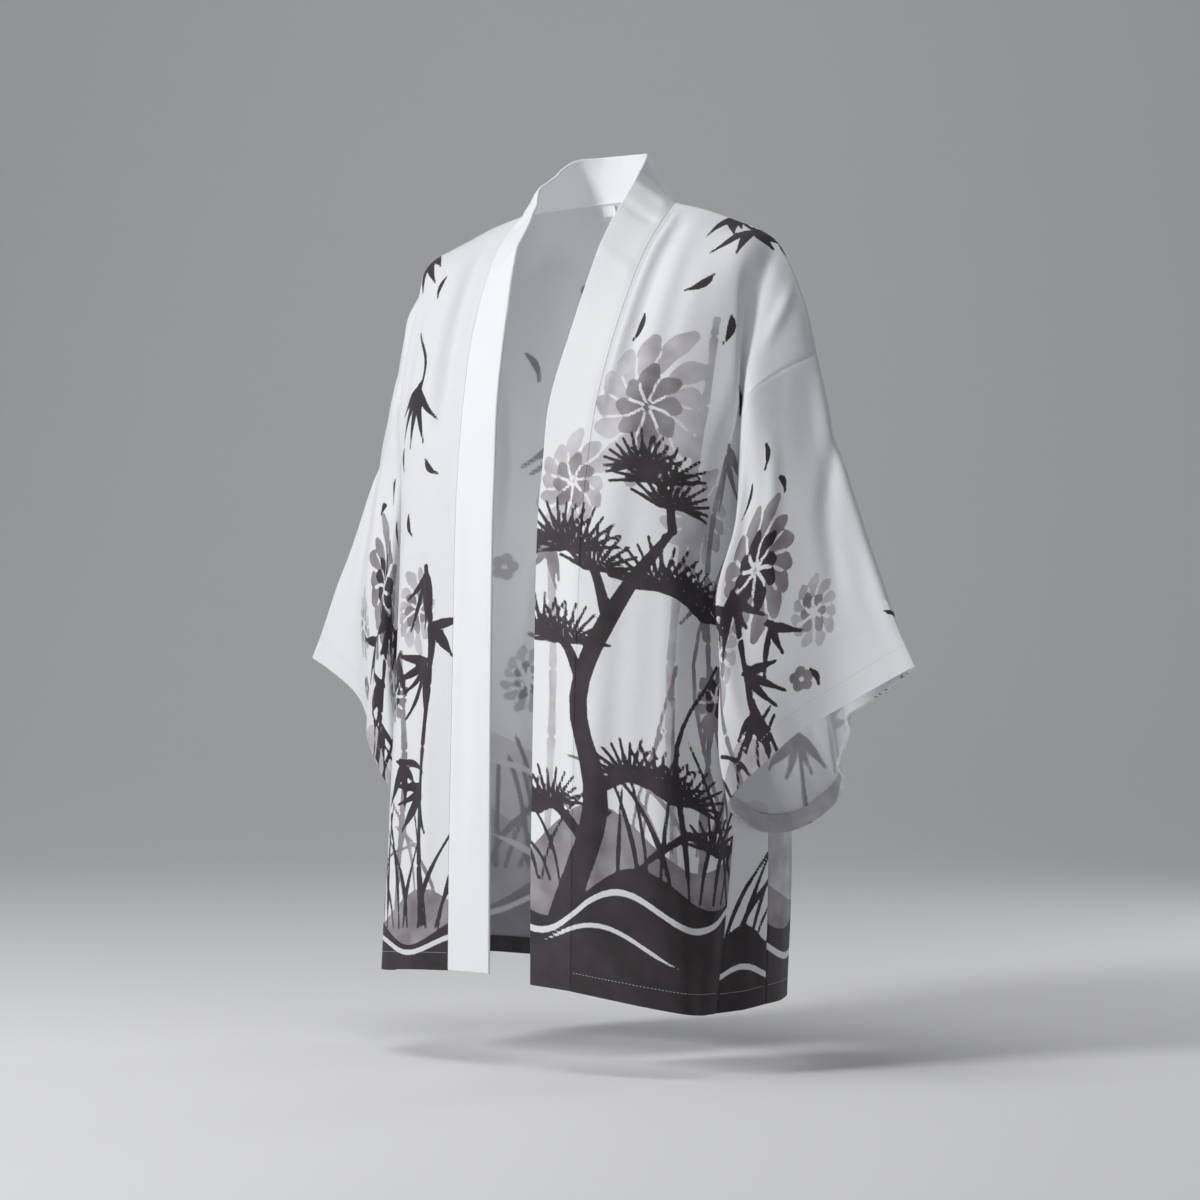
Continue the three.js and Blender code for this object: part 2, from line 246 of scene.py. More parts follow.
def front_at(down, across):
    """Points of the left front."""
    return surface(FRONT_POINTS, down, across)


def back_at(down, across):
    """Points of the left half of the back; its shoulder ridge is the front's."""
    down = np.atleast_1d(np.asarray(down, float))
    across = np.atleast_1d(np.asarray(across, float))
    ridge = np.clip(across - BACK_NECK, 0, FRONT_EDGE)
    gap = front_at([0], ridge)[0] - surface(BACK_POINTS, [0], across)[0]
    gap[across < BACK_NECK] = 0
    fade = np.clip(1 - down, 0, 1) ** 2
    return surface(BACK_POINTS, down, across) + fade[:, None, None] * gap[None]


def sided(points, side):
    """The wearer's right is mirrored and hangs a little higher towards its hem."""
    if side > 0:
        return points
    points = points.copy()
    down = np.clip((WAIST_Z - points[..., 2]) / (WAIST_Z - HEM_Z), 0, 1)
    start = np.where(points[..., 1] < 0, RIGHT_LIFT_FRONT, 0)
    lift = start + (RIGHT_LIFT_SIDE - start) * np.clip(np.abs(points[..., 0]) / SIDE_X, 0, 1)
    points[..., 2] += lift * down**2
    points[..., 0] *= -1
    return points


# Points that measure a curve before the mesh's own are placed on it
PROBES = 600


def even(start, end, curve, step):
    """Places from start to end that are about step mm apart along the curve."""
    probe = np.linspace(start, end, PROBES)
    line = curve(probe)
    run = np.concatenate([[0], np.cumsum(np.linalg.norm(np.diff(line, axis=0), axis=1))])
    count = max(4, int(round(run[-1] / step)))
    return np.interp(np.linspace(0, run[-1], count + 1), run, probe)


def flat_of(points):
    """Flat coordinates of a grid: running length down its columns and across its rows."""
    down = np.linalg.norm(np.diff(points, axis=0), axis=2)
    down = np.concatenate([np.zeros((1, points.shape[1])), np.cumsum(down, axis=0)])
    across = np.linalg.norm(np.diff(points, axis=1), axis=2)
    across = np.concatenate([np.zeros((points.shape[0], 1)), np.cumsum(across, axis=1)], axis=1)
    return across, down


# Flat measures of each panel, in mm: a across from its collar or middle, b up from its hem

# The row, counted from the shoulder, along which a panel's width is divided up
WIDTH_ROW = {"front": 1.5, "back": 1.0, "sleeve": 2.5}
# The neck seam from a shoulder to the middle of the back, and the band's width
NECK_SEAM = 110
BAND_WIDE = 52


def panel(points):
    across, run = flat_of(points)
    return {"points": points, "a": across, "b": run[-1] - run}


def panel_places(panel_at, row, edge, step):
    down = even(0, BODY_ROWS, lambda v: panel_at(v, [0])[:, 0], step)
    across = even(0, edge, lambda u: panel_at([row], u)[0], step)
    return down, across


def front_grid(step):
    down, across = panel_places(front_at, WIDTH_ROW["front"], FRONT_EDGE, step)
    return panel(front_at(down, across))


def back_grid(step):
    down, across = panel_places(back_at, WIDTH_ROW["back"], BACK_EDGE, step)
    left = panel(back_at(down, across))
    right = {"points": sided(left["points"], -1), "a": -left["a"], "b": left["b"]}
    return {key: np.concatenate([right[key][:, :0:-1], left[key]], axis=1) for key in left}


def gusset_grid(step):
    down = even(ARMHOLE_ROWS, BODY_ROWS, lambda v: front_at(v, [FRONT_EDGE])[:, 0], step)
    front = front_at(down, [FRONT_EDGE])[:, 0]
    back = back_at(down, [BACK_EDGE])[:, 0]
    middle = weights(len(GUSSET), down - ARMHOLE_ROWS) @ GUSSET_POINTS
    return panel(np.stack([
        front + (middle - front) * 2 * s if s <= 0.5 else middle + (back - middle) * (2 * s - 1)
        for s in np.linspace(0, 1, GUSSET_COLUMNS)], axis=1))


def armhole_ring(w):
    """The armhole seam at places round the sleeve: front edge, top of the gusset, back edge."""
    w = np.asarray(w, float)
    ring = np.zeros((len(w), 3))
    front = w <= ARMHOLE_ROWS
    back = w >= RING - ARMHOLE_ROWS
    ring[front] = front_at(w[front], [FRONT_EDGE])[:, 0]
    ring[back] = back_at(RING - w[back], [BACK_EDGE])[:, 0]
    low = ~front & ~back
    places = [ARMHOLE_ROWS, UNDER_ARM, RING - ARMHOLE_ROWS]
    ends = [front_at([ARMHOLE_ROWS], [FRONT_EDGE])[0, 0], GUSSET_POINTS[0],
            back_at([ARMHOLE_ROWS], [BACK_EDGE])[0, 0]]
    for axis in range(3):
        ring[low, axis] = np.interp(w[low], places, [end[axis] for end in ends])
    return ring


def sleeve_at(round_place, along_place):
    """Points of the left sleeve, round from the seam under the arm and along to the cuff."""
    w = np.where(round_place <= UNDER_ARM, UNDER_ARM, UNDER_ARM + RING) - round_place
    rings = [armhole_ring(w)]
    for ring in SLEEVE:
        points = np.array([*ring["front"], ring["under"], *ring["back"]], float)
        rings.append(weights(RING, np.mod(w, RING), closed=True) @ points)
    return np.einsum("vj,juk->vuk", weights(len(rings), along_place), np.array(rings))


def sleeve_grid(step):
    around = even(0, RING, lambda s: sleeve_at(s, [WIDTH_ROW["sleeve"]])[0], step)
    length = even(0, len(SLEEVE), lambda v: sleeve_at(np.array([UNDER_ARM]), v)[:, 0], step)
    return panel(sleeve_at(around, length))


def collar_grid(step):
    """The band from the left hem, up the front, round the neck and down the right front."""
    down = even(0, BODY_ROWS, lambda v: front_at(v, [0])[:, 0], step)[::-1]
    seam_front = front_at(down, [0])[:, 0]
    brim_front = weights(len(FRONT), down) @ np.array([row["brim"] for row in FRONT], float)
    neck = np.linspace(BACK_NECK, 0, int(NECK_SEAM / step) + 1)[1:]
    seam_neck = back_at([0], neck)[0]
    neck_brims = np.array([*[row["brim"] for row in NECK], FRONT[0]["brim"]], float)
    brim_neck = weights(len(neck_brims), neck) @ neck_brims
    seam = np.concatenate([seam_front, seam_neck])
    brim = np.concatenate([brim_front, brim_neck])
    seam = np.concatenate([seam, sided(seam[:-1], -1)[::-1]])
    brim = np.concatenate([brim, sided(brim[:-1], -1)[::-1]])
    shares = np.linspace(0, 1, max(6, int(BAND_WIDE / step)))[None, :, None]
    points = seam[:, None] * (1 - shares) + brim[:, None] * shares
    across, run = flat_of(points)
    return {"points": points, "a": across, "b": run}


def outward_of(points, inside_out=False):
    """Unit normals of a grid; inside_out turns them over."""
    down = np.gradient(points, axis=0)
    across = np.gradient(points, axis=1)
    normal = np.cross(down, across)
    normal /= np.maximum(np.linalg.norm(normal, axis=2, keepdims=True), 1e-9)
    return -normal if inside_out else normal


# Folds: each lies from one place to another on the flat panel, with a width and a height in mm.
# Below zero it is a trough, above zero a ridge. They die away at their ends.

def smooth(x, low, high):
    t = np.clip((x - low) / (high - low), 0, 1)
    return t * t * (3 - 2 * t)


def folds_height(a, b, rows):
    height = np.zeros_like(a)
    for a0, b0, a1, b1, wide, high, drift in rows:
        length = math.hypot(a1 - a0, b1 - b0)
        ex = (a1 - a0) / length
        ey = (b1 - b0) / length
        share = ((a - a0) * ex + (b - b0) * ey) / length
        aside = (a - a0) * ey - (b - b0) * ex
        aside = aside - drift * np.sin(np.clip(share, 0, 1) * math.pi)
        taper = smooth(share, -0.02, 0.3) * (1 - smooth(share, 0.7, 1.02))
        height += high * taper * np.exp(-(aside / wide) ** 2)
    return height


# The slack is a sum of this many waves, divided so that it stays near the height asked for
WAVES = 7
WAVE_SUM = 2.6
SEAM_DITCH = 0.7


def slack(a, b, size, seed):
    """Low uneven waves in the cloth, as long as a hand and about a millimetre high."""
    rng = np.random.default_rng(seed)
    height = np.zeros_like(a)
    for _ in range(WAVES):
        turn = rng.uniform(-0.5, 0.5)
        pitch = rng.uniform(90, 240)
        phase = rng.uniform(0, 6.28)
        height += np.sin(2 * math.pi * (a * math.cos(turn) + b * math.sin(turn) * 0.4) / pitch + phase)
    return height * size / WAVE_SUM


def seam_ditch(shape, sewn):
    """The last rows of cloth dip in where they are sewn to the next piece."""
    ditch = np.zeros(shape)
    edges = {"top": np.s_[0, :], "left": np.s_[:, 0], "right": np.s_[:, -1]}
    for edge in sewn:
        ditch[edges[edge]] = SEAM_DITCH
    return ditch


# Pieces

def activate(piece):
    bpy.ops.object.select_all(action="DESELECT")
    piece.select_set(True)
    bpy.context.view_layer.objects.active = piece


def apply_modifiers(piece):
    activate(piece)
    for name in [m.name for m in piece.modifiers]:
        bpy.ops.object.modifier_apply(modifier=name)


def cloth_sheet(name, points, a, b, fields, thickness, inks, over=False):
    """A grid of cloth with its flat measures as UV, thickened to a wall on both sides of it.
    Points are in mm. Over turns its faces over."""
    rows, columns = points.shape[:2]
    bpy.ops.object.select_all(action="DESELECT")
    bpy.ops.mesh.primitive_grid_add(x_subdivisions=columns - 1, y_subdivisions=rows - 1, size=1)
    piece = bpy.context.object
    piece.name = name
    mesh = piece.data
    mesh.name = name
    mesh.vertices.foreach_set("co", (points * MM).ravel())
    corner = np.empty(len(mesh.loops), int)
    mesh.loops.foreach_get("vertex_index", corner)
    flat = np.stack([a.ravel(), b.ravel()], axis=1) * MM
    mesh.uv_layers[0].data.foreach_set("uv", flat[corner].ravel())
    for field, values in fields.items():
        layer = mesh.attributes.new(field, "FLOAT", "POINT")
        layer.data.foreach_set("value", values.ravel().astype(np.float32))
    if over:
        mesh.flip_normals()
    mesh.update()
    for ink in inks:
        mesh.materials.append(ink)
    wall = piece.modifiers.new("wall of cloth", "SOLIDIFY")
    wall.thickness = thickness * MM
    wall.offset = 0.0
    wall.material_offset = len(inks) - 1
    wall.material_offset_rim = 0
    apply_modifiers(piece)
    activate(piece)
    bpy.ops.object.shade_smooth_by_angle(angle=math.radians(50))
    return piece


def declare(piece, node):
    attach(piece, "root")
    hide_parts(node)


# The print: a made-up design of bamboo, chrysanthemums, grasses and a stream in ink greys.
# Every ink is a field in mm, above zero where the ink lies, that the finish cuts at zero.
INKS = ("ink_pale", "ink_grey", "ink_dark", "ink_white")
NO_INK = -9.0


class Print:
    """Inks laid on one panel, in its own flat measures: a across and b up, in mm. No brush stroke
    is thinner than least, but for its tip, so that the panel's mesh can carry it."""

    def __init__(self, a, b, seed, least=3.0):
        self.least = least
        self.a = a
        self.b = b
        self.fields = {ink: np.full(a.shape, NO_INK) for ink in INKS}
        self.rng = np.random.default_rng(seed)

    def brush(self, ink, path, widths, bare=False):
        """A brush stroke along a path, with its width at the start, the middle and the end; a bare
        stroke takes the ink away again."""
        path = np.array(path, float)
        count = 5 * (len(path) - 1) + 1
        place = np.linspace(0, len(path) - 1, count)
        if len(path) > 2:
            line = weights(len(path), place) @ path
        else:
            line = path[0] + (path[1] - path[0]) * place[:, None]
        half = np.interp(np.linspace(0, 1, count), np.linspace(0, 1, len(widths)), widths) / 2
        half[:-1] = np.maximum(half[:-1], self.least / 2)
        reach = half.max() - NO_INK
        low = line.min(axis=0) - reach
        high = line.max(axis=0) + reach
        near = (self.a > low[0]) & (self.a < high[0]) & (self.b > low[1]) & (self.b < high[1])
        if not near.any():
            return
        x = self.a[near]
        y = self.b[near]
        best = np.full(x.shape, NO_INK)
        for i in range(count - 1):
            dx, dy = line[i + 1] - line[i]
            t = np.clip(((x - line[i, 0]) * dx + (y - line[i, 1]) * dy) / max(dx * dx + dy * dy, 1e-6), 0, 1)
            gap = np.hypot(x - line[i, 0] - t * dx, y - line[i, 1] - t * dy)
            best = np.maximum(best, half[i] + (half[i + 1] - half[i]) * t - gap)
        if bare:
            self.fields[ink][near] = np.minimum(self.fields[ink][near], -best)
        else:
            self.fields[ink][near] = np.maximum(self.fields[ink][near], best)

    def disc(self, ink, a, b, radius):
        self.fields[ink] = np.maximum(self.fields[ink], radius - np.hypot(self.a - a, self.b - b))

    def clear(self, ink, a, b, radius):
        self.fields[ink] = np.minimum(self.fields[ink], np.hypot(self.a - a, self.b - b) - radius)

    def leaf(self, ink, a, b, turn, length, wide, bend=0.0):
        """A lance-shaped leaf from its stalk; turn is in degrees from straight up."""
        path = []
        for t in (0, 0.33, 0.66, 1.0):
            way = math.radians(turn + bend * t)
            path.append([a + length * t * math.sin(way), b + length * t * math.cos(way)])
        self.brush(ink, path, [0.8, wide * 0.75, wide, wide * 0.8, wide * 0.4, 0.5])

    def spray(self, ink, a, b, turn, count, length, wide, spread=110):
        """Bamboo leaves hanging together from one joint."""
        for i in range(count):
            share = i / max(count - 1, 1) - 0.5
            size = length * self.rng.uniform(0.7, 1.1)
            self.leaf(ink, a + share * 7, b + self.rng.uniform(-3, 3), turn + share * spread, size,
                      wide * self.rng.uniform(0.8, 1.1), self.rng.uniform(-16, 16))

    def needles(self, ink, a, b, turn, count, length, wide, spread=165):
        """A pad of pine needles, fanned out from one twig."""
        for i in range(count):
            share = i / (count - 1) - 0.5
            size = length * (1 - 0.35 * abs(share)) * self.rng.uniform(0.85, 1.08)
            self.leaf(ink, a + share * length * 0.5, b, turn + share * spread, size, wide, 10 * share)

    def bough(self, ink, path, widths, pads, length):
        """A pine branch with its pads of needles along it, each at a share of the way."""
        self.brush(ink, path, widths)
        path = np.array(path, float)
        for share, turn in pads:
            spot = weights(len(path), [share * (len(path) - 1)]) @ path
            self.needles(ink, spot[0, 0], spot[0, 1], turn, 13, length * self.rng.uniform(0.85, 1.1), 4.2)

    def culm(self, ink, path, wide, joint=62):
        """A bamboo stem: its sections end in clear rings."""
        path = np.array(path, float)
        line = weights(len(path), np.linspace(0, len(path) - 1, 60)) @ path
        run = np.concatenate([[0], np.cumsum(np.hypot(*np.diff(line, axis=0).T))])
        start = 0.0
        while start < run[-1]:
            end = min(start + joint * self.rng.uniform(0.85, 1.1), run[-1])
            piece = [[np.interp(s, run, line[:, 0]), np.interp(s, run, line[:, 1])]
                     for s in np.linspace(start, end, 4)]
            self.brush(ink, piece, [wide * 1.18, wide * 0.92, wide * 0.92, wide * 1.18])
            start = end + wide * 0.5 + 4.5

    def bloom(self, ink, heart, a, b, radius, petals, turn=0.0):
        """A chrysanthemum with two rings of petals. Thin lines of bare cloth part the petals, but not
        in an inner ring of the outer one's ink, where they would cut the outer petals too."""
        for ring, (reach, ink_now, root) in enumerate(((1.0, ink, 0.46), (0.55, heart, 0.16))):
            count = petals if ring == 0 else max(6, petals - 5)
            lines = []
            for i in range(count):
                way = math.radians(turn + 360 * (i + 0.5 * ring) / count)
                long = radius * reach * self.rng.uniform(0.88, 1.06)
                long *= 1 - 0.35 * abs(math.sin(way))
                wide = 2 * math.pi * radius * reach / count * 0.62
                path = []
                for t in (0.0, 0.5, 1.0):
                    s = long * (root + (1 - root) * t)
                    curl = way + 0.22 * t * t
                    path.append([a + s * math.sin(curl), b + s * math.cos(curl)])
                self.brush(ink_now, path, [wide * 0.35, wide * 0.8, wide, wide * 0.55])
                half = math.pi / count
                lines.append([[a + s * math.sin(curl + half), b + s * math.cos(curl + half)]
                              for s, curl in ((long * root, way), (long * 0.62, way + 0.06),
                                              (long * 0.86, way + 0.14))])
            if ring == 0 or heart != ink:
                for line in lines:
                    self.brush(ink_now, line, [1.0, 1.4, 2.0], bare=True)

    def blossom(self, ink, a, b, radius):
        """A five-petalled plum blossom with a clear eye."""
        for i in range(5):
            way = 2 * math.pi * i / 5 + 0.3
            x = a + radius * 0.62 * math.sin(way)
            y = b + radius * 0.62 * math.cos(way)
            self.disc(ink, x, y, radius * 0.44)
        self.clear(ink, a, b, radius * 0.22)

    def grasses(self, ink, a0, a1, b, count, length, wide, lean=0.0):
        for i in range(count):
            a = a0 + (a1 - a0) * (i + self.rng.uniform(0, 0.8)) / count
            side = self.rng.uniform(-34, 34) + lean
            long = length * self.rng.uniform(0.55, 1.1)
            self.leaf(ink, a, b, side * 0.4, long, wide * self.rng.uniform(0.7, 1.1), side)

    def bank(self, ink, level):
        """Ground up to a level that changes across the panel."""
        self.fields[ink] = np.maximum(self.fields[ink], level(self.a) - self.b)

    def stream(self, ink, level, wide, start=-1e9, end=1e9):
        """A line of water that follows a level, tapering at its ends."""
        taper = np.minimum(smooth(self.a, start, start + 40), 1 - smooth(self.a, end - 40, end))
        depth = wide / 2 * taper - np.abs(self.b - level(self.a)) * 0.9
        self.fields[ink] = np.maximum(self.fields[ink], np.where(taper > 0, depth, NO_INK))

    def drift(self, ink, places, size):
        """Single leaves carried by the wind."""
        for a, b, turn in places:
            self.leaf(ink, a, b, turn, size * self.rng.uniform(0.8, 1.2), size * 0.3, 30)

    def under(self, ink, over):
        """Keeps an ink out from beneath another one."""
        self.fields[ink] = np.minimum(self.fields[ink], -self.fields[over])


def left_front_design(p):
    p.bank("ink_grey", lambda a: 150 + 30 * np.sin((a + 34) / 36) + 0.1 * a)
    p.bank("ink_dark", lambda a: 96 + 22 * np.sin((a - 20) / 29) + 0.16 * a)
    p.stream("ink_white", lambda a: 78 + 18 * np.sin((a - 8) / 27) + 0.14 * a, 5.5)
    p.stream("ink_white", lambda a: 54 + 14 * np.sin((a + 14) / 30), 4, -44, 120)
    p.stream("ink_grey", lambda a: 40 + 12 * np.sin((a + 20) / 24), 9, 6, 190)
    p.stream("ink_grey", lambda a: 22 + 8 * np.sin((a + 60) / 21), 6, -40, 130)
    p.bloom("ink_pale", "ink_grey", 56, 566, 78, 13, 8)
    p.bloom("ink_pale", "ink_grey", -14, 486, 50, 12, 20)
    p.bloom("ink_pale", "ink_pale", 118, 470, 50, 12, 3)
    p.bloom("ink_grey", "ink_dark", 150, 300, 34, 11, 4)
    p.culm("ink_pale", [[-30, 130], [-26, 300], [-36, 440]], 8, 56)
    p.culm("ink_grey", [[134, 120], [142, 260], [134, 420], [146, 540]], 6.5, 52)
    p.culm("ink_pale", [[104, 140], [96, 330], [110, 560], [100, 660]], 7, 58)
    p.brush("ink_dark", [[-14, 60], [26, 180], [4, 280], [40, 372], [92, 452]], [34, 27, 22, 20, 15, 6])
    p.bough("ink_dark", [[8, 292], [-14, 332], [-44, 338]], [13, 9, 3], [(0.5, 0), (0.95, -30)], 44)
    p.bough("ink_dark", [[34, 356], [14, 408], [-26, 430]], [13, 9, 3],
            [(0.45, 20), (0.75, -10), (1.0, -40)], 50)
    p.bough("ink_dark", [[54, 398], [96, 396], [138, 372]], [13, 10, 3],
            [(0.35, 0), (0.65, 10), (1.0, 30)], 46)
    p.bough("ink_dark", [[92, 452], [84, 486], [56, 506]], [9, 7, 3],
            [(0.3, 20), (0.7, -10), (1.0, -20)], 44)
    p.bough("ink_dark", [[22, 196], [64, 214], [112, 196]], [14, 9, 3],
            [(0.45, 0), (0.75, 10), (1.0, 25)], 42)
    p.bough("ink_dark", [[10, 150], [-22, 176], [-46, 168]], [12, 8, 3], [(0.6, -5), (1.0, -25)], 36)
    p.brush("ink_dark", [[72, 130], [120, 168], [160, 150], [200, 176]], [3, 9, 6, 2.5])
    p.needles("ink_dark", 148, 156, 10, 11, 34, 4)
    for a, b, turn, count, length, wide in (
            (142, 300, 160, 4, 62, 9), (136, 410, 200, 4, 58, 9), (146, 540, 150, 5, 60, 9),
            (-34, 430, 190, 4, 50, 8)):
        p.spray("ink_grey", a, b, turn, count, length, wide, 80)
    p.grasses("ink_dark", 40, 190, 104, 12, 150, 5, 10)
    p.grasses("ink_dark", -46, 6, 104, 6, 110, 5, -10)
    p.grasses("ink_grey", 60, 180, 150, 9, 190, 4, -8)
    p.brush("ink_grey", [[170, 150], [120, 330], [176, 470]], [4.8, 4.4, 3.8])
    p.brush("ink_dark", [[120, 130], [104, 250], [150, 330]], [5, 4.6, 3.8])
    p.brush("ink_dark", [[66, 806], [92, 778], [124, 764]], [2.5, 4.5, 3])
    p.spray("ink_dark", 98, 776, 150, 5, 66, 12, 110)
    p.spray("ink_dark", 70, 800, 170, 3, 48, 11, 60)
    p.spray("ink_dark", 124, 764, 100, 3, 44, 10, 60)
    p.drift("ink_dark", [(112, 668, 150), (84, 706, 200), (24, 660, 160), (142, 600, 120)], 30)
    p.under("ink_white", "ink_pale")


def right_front_design(p):
    p.bank("ink_grey", lambda a: 66 + 18 * np.sin((a + 10) / 28))
    p.bank("ink_dark", lambda a: 40 + 14 * np.sin((a + 60) / 24))
    p.stream("ink_white", lambda a: 27 + 9 * np.sin((a + 50) / 22), 5)
    p.culm("ink_dark", [[34, 50], [40, 180], [30, 330], [42, 410]], 8, 56)
    p.culm("ink_grey", [[78, 60], [70, 200], [82, 330]], 7, 52)
    p.bloom("ink_pale", "ink_grey", 58, 372, 44, 13, 12)
    p.bloom("ink_grey", "ink_dark", 92, 290, 30, 11, 3)
    for a, b, turn, count, length, wide in (
            (34, 318, 130, 5, 62, 10), (30, 352, 220, 4, 56, 10), (42, 410, 170, 5, 60, 10),
            (40, 190, 140, 5, 58, 10), (78, 220, 220, 4, 50, 9), (84, 330, 150, 4, 50, 9)):
        p.spray("ink_dark", a, b, turn, count, length, wide, 90)
    p.grasses("ink_dark", 4, 150, 44, 13, 140, 6, 6)
    p.grasses("ink_grey", 10, 160, 60, 8, 150, 5, -6)
    p.brush("ink_dark", [[84, 660], [60, 620], [70, 574]], [3, 5, 2.5])
    p.spray("ink_dark", 66, 600, 165, 5, 62, 11, 90)
    p.spray("ink_dark", 104, 762, 190, 4, 50, 11, 80)
    p.drift("ink_dark", [(48, 520, 200), (96, 540, 150), (78, 470, 170), (60, 720, 140)], 24)


def back_design(p):
    p.disc("ink_pale", 62, 560, 92)
    p.bank("ink_pale", lambda a: 214 + 40 * np.sin((a - 60) / 62))
    p.bank("ink_grey", lambda a: 140 + 30 * np.sin((a + 30) / 48) - 0.08 * a)
    p.bank("ink_dark", lambda a: 82 + 24 * np.sin((a - 70) / 36) + 0.05 * a)
    p.stream("ink_white", lambda a: 112 + 24 * np.sin((a + 10) / 44), 7, -200, 170)
    p.stream("ink_white", lambda a: 60 + 18 * np.sin((a - 60) / 34), 6)
    p.stream("ink_white", lambda a: 30 + 11 * np.sin((a + 20) / 30), 5, -150, 210)
    p.stream("ink_white", lambda a: 196 + 20 * np.sin((a - 20) / 50), 6, -210, 60)
    p.culm("ink_dark", [[-96, 100], [-84, 300], [-96, 500], [-70, 700]], 12, 74)
    p.culm("ink_dark", [[-42, 90], [-54, 260], [-40, 440]], 9, 60)
    p.culm("ink_grey", [[-130, 120], [-118, 320], [-128, 560]], 9, 64)
    p.culm("ink_grey", [[118, 110], [106, 300], [118, 470]], 8, 58)
    p.culm("ink_dark", [[146, 100], [152, 240], [140, 360]], 7, 50)
    p.bloom("ink_grey", "ink_dark", 52, 330, 58, 15, 6)
    p.bloom("ink_pale", "ink_grey", -8, 420, 46, 13, 14)
    p.bloom("ink_pale", "ink_grey", 120, 400, 40, 12, 3)
    p.bloom("ink_grey", "ink_dark", -150, 300, 38, 12, 9)
    for a, b, turn, count, length, wide in (
            (-74, 640, 140, 6, 92, 14), (-84, 560, 210, 5, 84, 14), (-92, 460, 150, 5, 80, 13),
            (-70, 700, 120, 5, 76, 13), (-44, 420, 150, 5, 72, 12), (-50, 300, 220, 5, 66, 12),
            (140, 350, 160, 5, 64, 11), (150, 250, 140, 5, 60, 11), (-88, 330, 230, 5, 64, 12),
            (150, 190, 210, 4, 54, 11)):
        p.spray("ink_dark", a, b, turn, count, length, wide, 90)
    p.brush("ink_dark", [[-6, 80], [34, 160], [8, 232], [60, 300], [104, 330]], [30, 24, 20, 15, 6])
    p.bough("ink_dark", [[14, 244], [-12, 270], [-40, 268]], [12, 8, 3], [(0.6, 0), (1.0, -20)], 40)
    p.bough("ink_dark", [[60, 300], [48, 348], [14, 362]], [12, 8, 3], [(0.5, 10), (1.0, -20)], 46)
    p.bough("ink_dark", [[84, 320], [124, 318], [158, 296]], [11, 8, 3], [(0.4, 0), (0.7, 10), (1.0, 25)], 42)
    p.bough("ink_dark", [[30, 168], [70, 178], [108, 160]], [12, 8, 3], [(0.5, 0), (1.0, 20)], 38)
    for a, b, turn, count, length, wide in (
            (118, 470, 150, 5, 64, 11), (-128, 540, 160, 5, 66, 11), (-120, 380, 140, 5, 60, 11)):
        p.spray("ink_grey", a, b, turn, count, length, wide, 90)
    p.grasses("ink_dark", -200, -100, 96, 9, 140, 7, 10)
    p.grasses("ink_dark", -20, 120, 100, 12, 150, 7, -6)
    p.grasses("ink_grey", 20, 200, 150, 9, 150, 6, 8)
    p.brush("ink_dark", [[200, 700], [150, 676], [110, 690], [70, 664]], [3, 6, 5, 2.5])
    p.spray("ink_dark", 130, 684, 160, 6, 56, 14, 120)
    p.spray("ink_dark", 84, 672, 210, 4, 44, 12, 90)
    p.drift("ink_dark", [(20, 700, 140), (52, 620, 200), (-20, 560, 160), (100, 540, 150), (0, 620, 110),
                         (170, 560, 190), (-150, 640, 130)], 28)
    for a, b, radius in ((168, 470, 15), (184, 430, 12), (-176, 420, 14), (-30, 200, 13)):
        p.blossom("ink_grey", a, b, radius)


def sleeve_design(p, side):
    """Round the sleeve from the seam under the arm: the front comes first, the back after 225."""
    over = 34 if side > 0 else 0
    for shift, turn_more in ((over, 0), (258, 40)):
        p.bloom("ink_grey", "ink_dark", 128 + shift, 160, 62, 13, 10 + turn_more)
        p.bloom("ink_pale", "ink_grey", 70 + shift, 112, 38, 12, 22 + turn_more)
        p.bloom("ink_pale", "ink_grey", 186 + shift, 96, 34, 11, 5)
        p.culm("ink_dark", [[96 + shift, 6], [104 + shift, 70], [100 + shift, 150]], 6, 44)
        p.culm("ink_grey", [[58 + shift, 0], [66 + shift, 90], [60 + shift, 170]], 5, 46)
        for a, b, turn, count, length, wide in (
                (100, 156, 190, 4, 58, 10), (104, 84, 150, 4, 54, 9), (62, 164, 170, 5, 54, 9),
                (98, 44, 220, 3, 44, 9), (136, 108, 165, 3, 50, 9)):
            p.spray("ink_dark", a + shift, b, turn + turn_more * 0.4, count, length, wide, 80)
        p.grasses("ink_dark", 40 + shift, 110 + shift, 0, 6, 66, 5, 12)
        p.drift("ink_dark", [(150 + shift, 230, 120), (112 + shift, 244, 190), (134 + shift, 268, 160),
                             (168 + shift, 48, 150)], 22)
        p.blossom("ink_grey", 156 + shift, 44, 12)
    p.spray("ink_dark", 512, 96, 165, 4, 62, 10, 80)
    p.spray("ink_grey", 470, 70, 200, 4, 56, 10, 80)
    p.brush("ink_dark", [[540, 0], [520, 60], [500, 130]], [4, 5, 3])
    p.bank("ink_pale", lambda a: 24 + 12 * np.sin((a + 40) / 20) - 44 * smooth(np.abs(a - 60), 40, 110)
           + 36 * smooth(a, 490, 540))


def front_print(a, b, side):
    p = Print(a, b, 40 + side)
    if side > 0:
        left_front_design(p)
    else:
        right_front_design(p)
    return p.fields


def back_print(a, b):
    p = Print(a, b, 7, 4.8)
    back_design(p)
    return p.fields


def gusset_print(a, b, side):
    p = Print(a, b, 60 + side, 3.5)
    p.bank("ink_dark", lambda a: 70 + 12 * np.sin(a / 14))
    p.grasses("ink_dark", -4, 60, 60, 6, 120, 6, 4)
    p.stream("ink_white", lambda a: 34 + 8 * np.sin(a / 16), 5)
    return p.fields


def sleeve_print(a, b, side):
    p = Print(a, b, 80 + side, 3.5)
    sleeve_design(p, side)
    return p.fields


# The share of the way from the near hem to the middle of the neck up to which the band is printed
BAND_PRINTED = 0.62


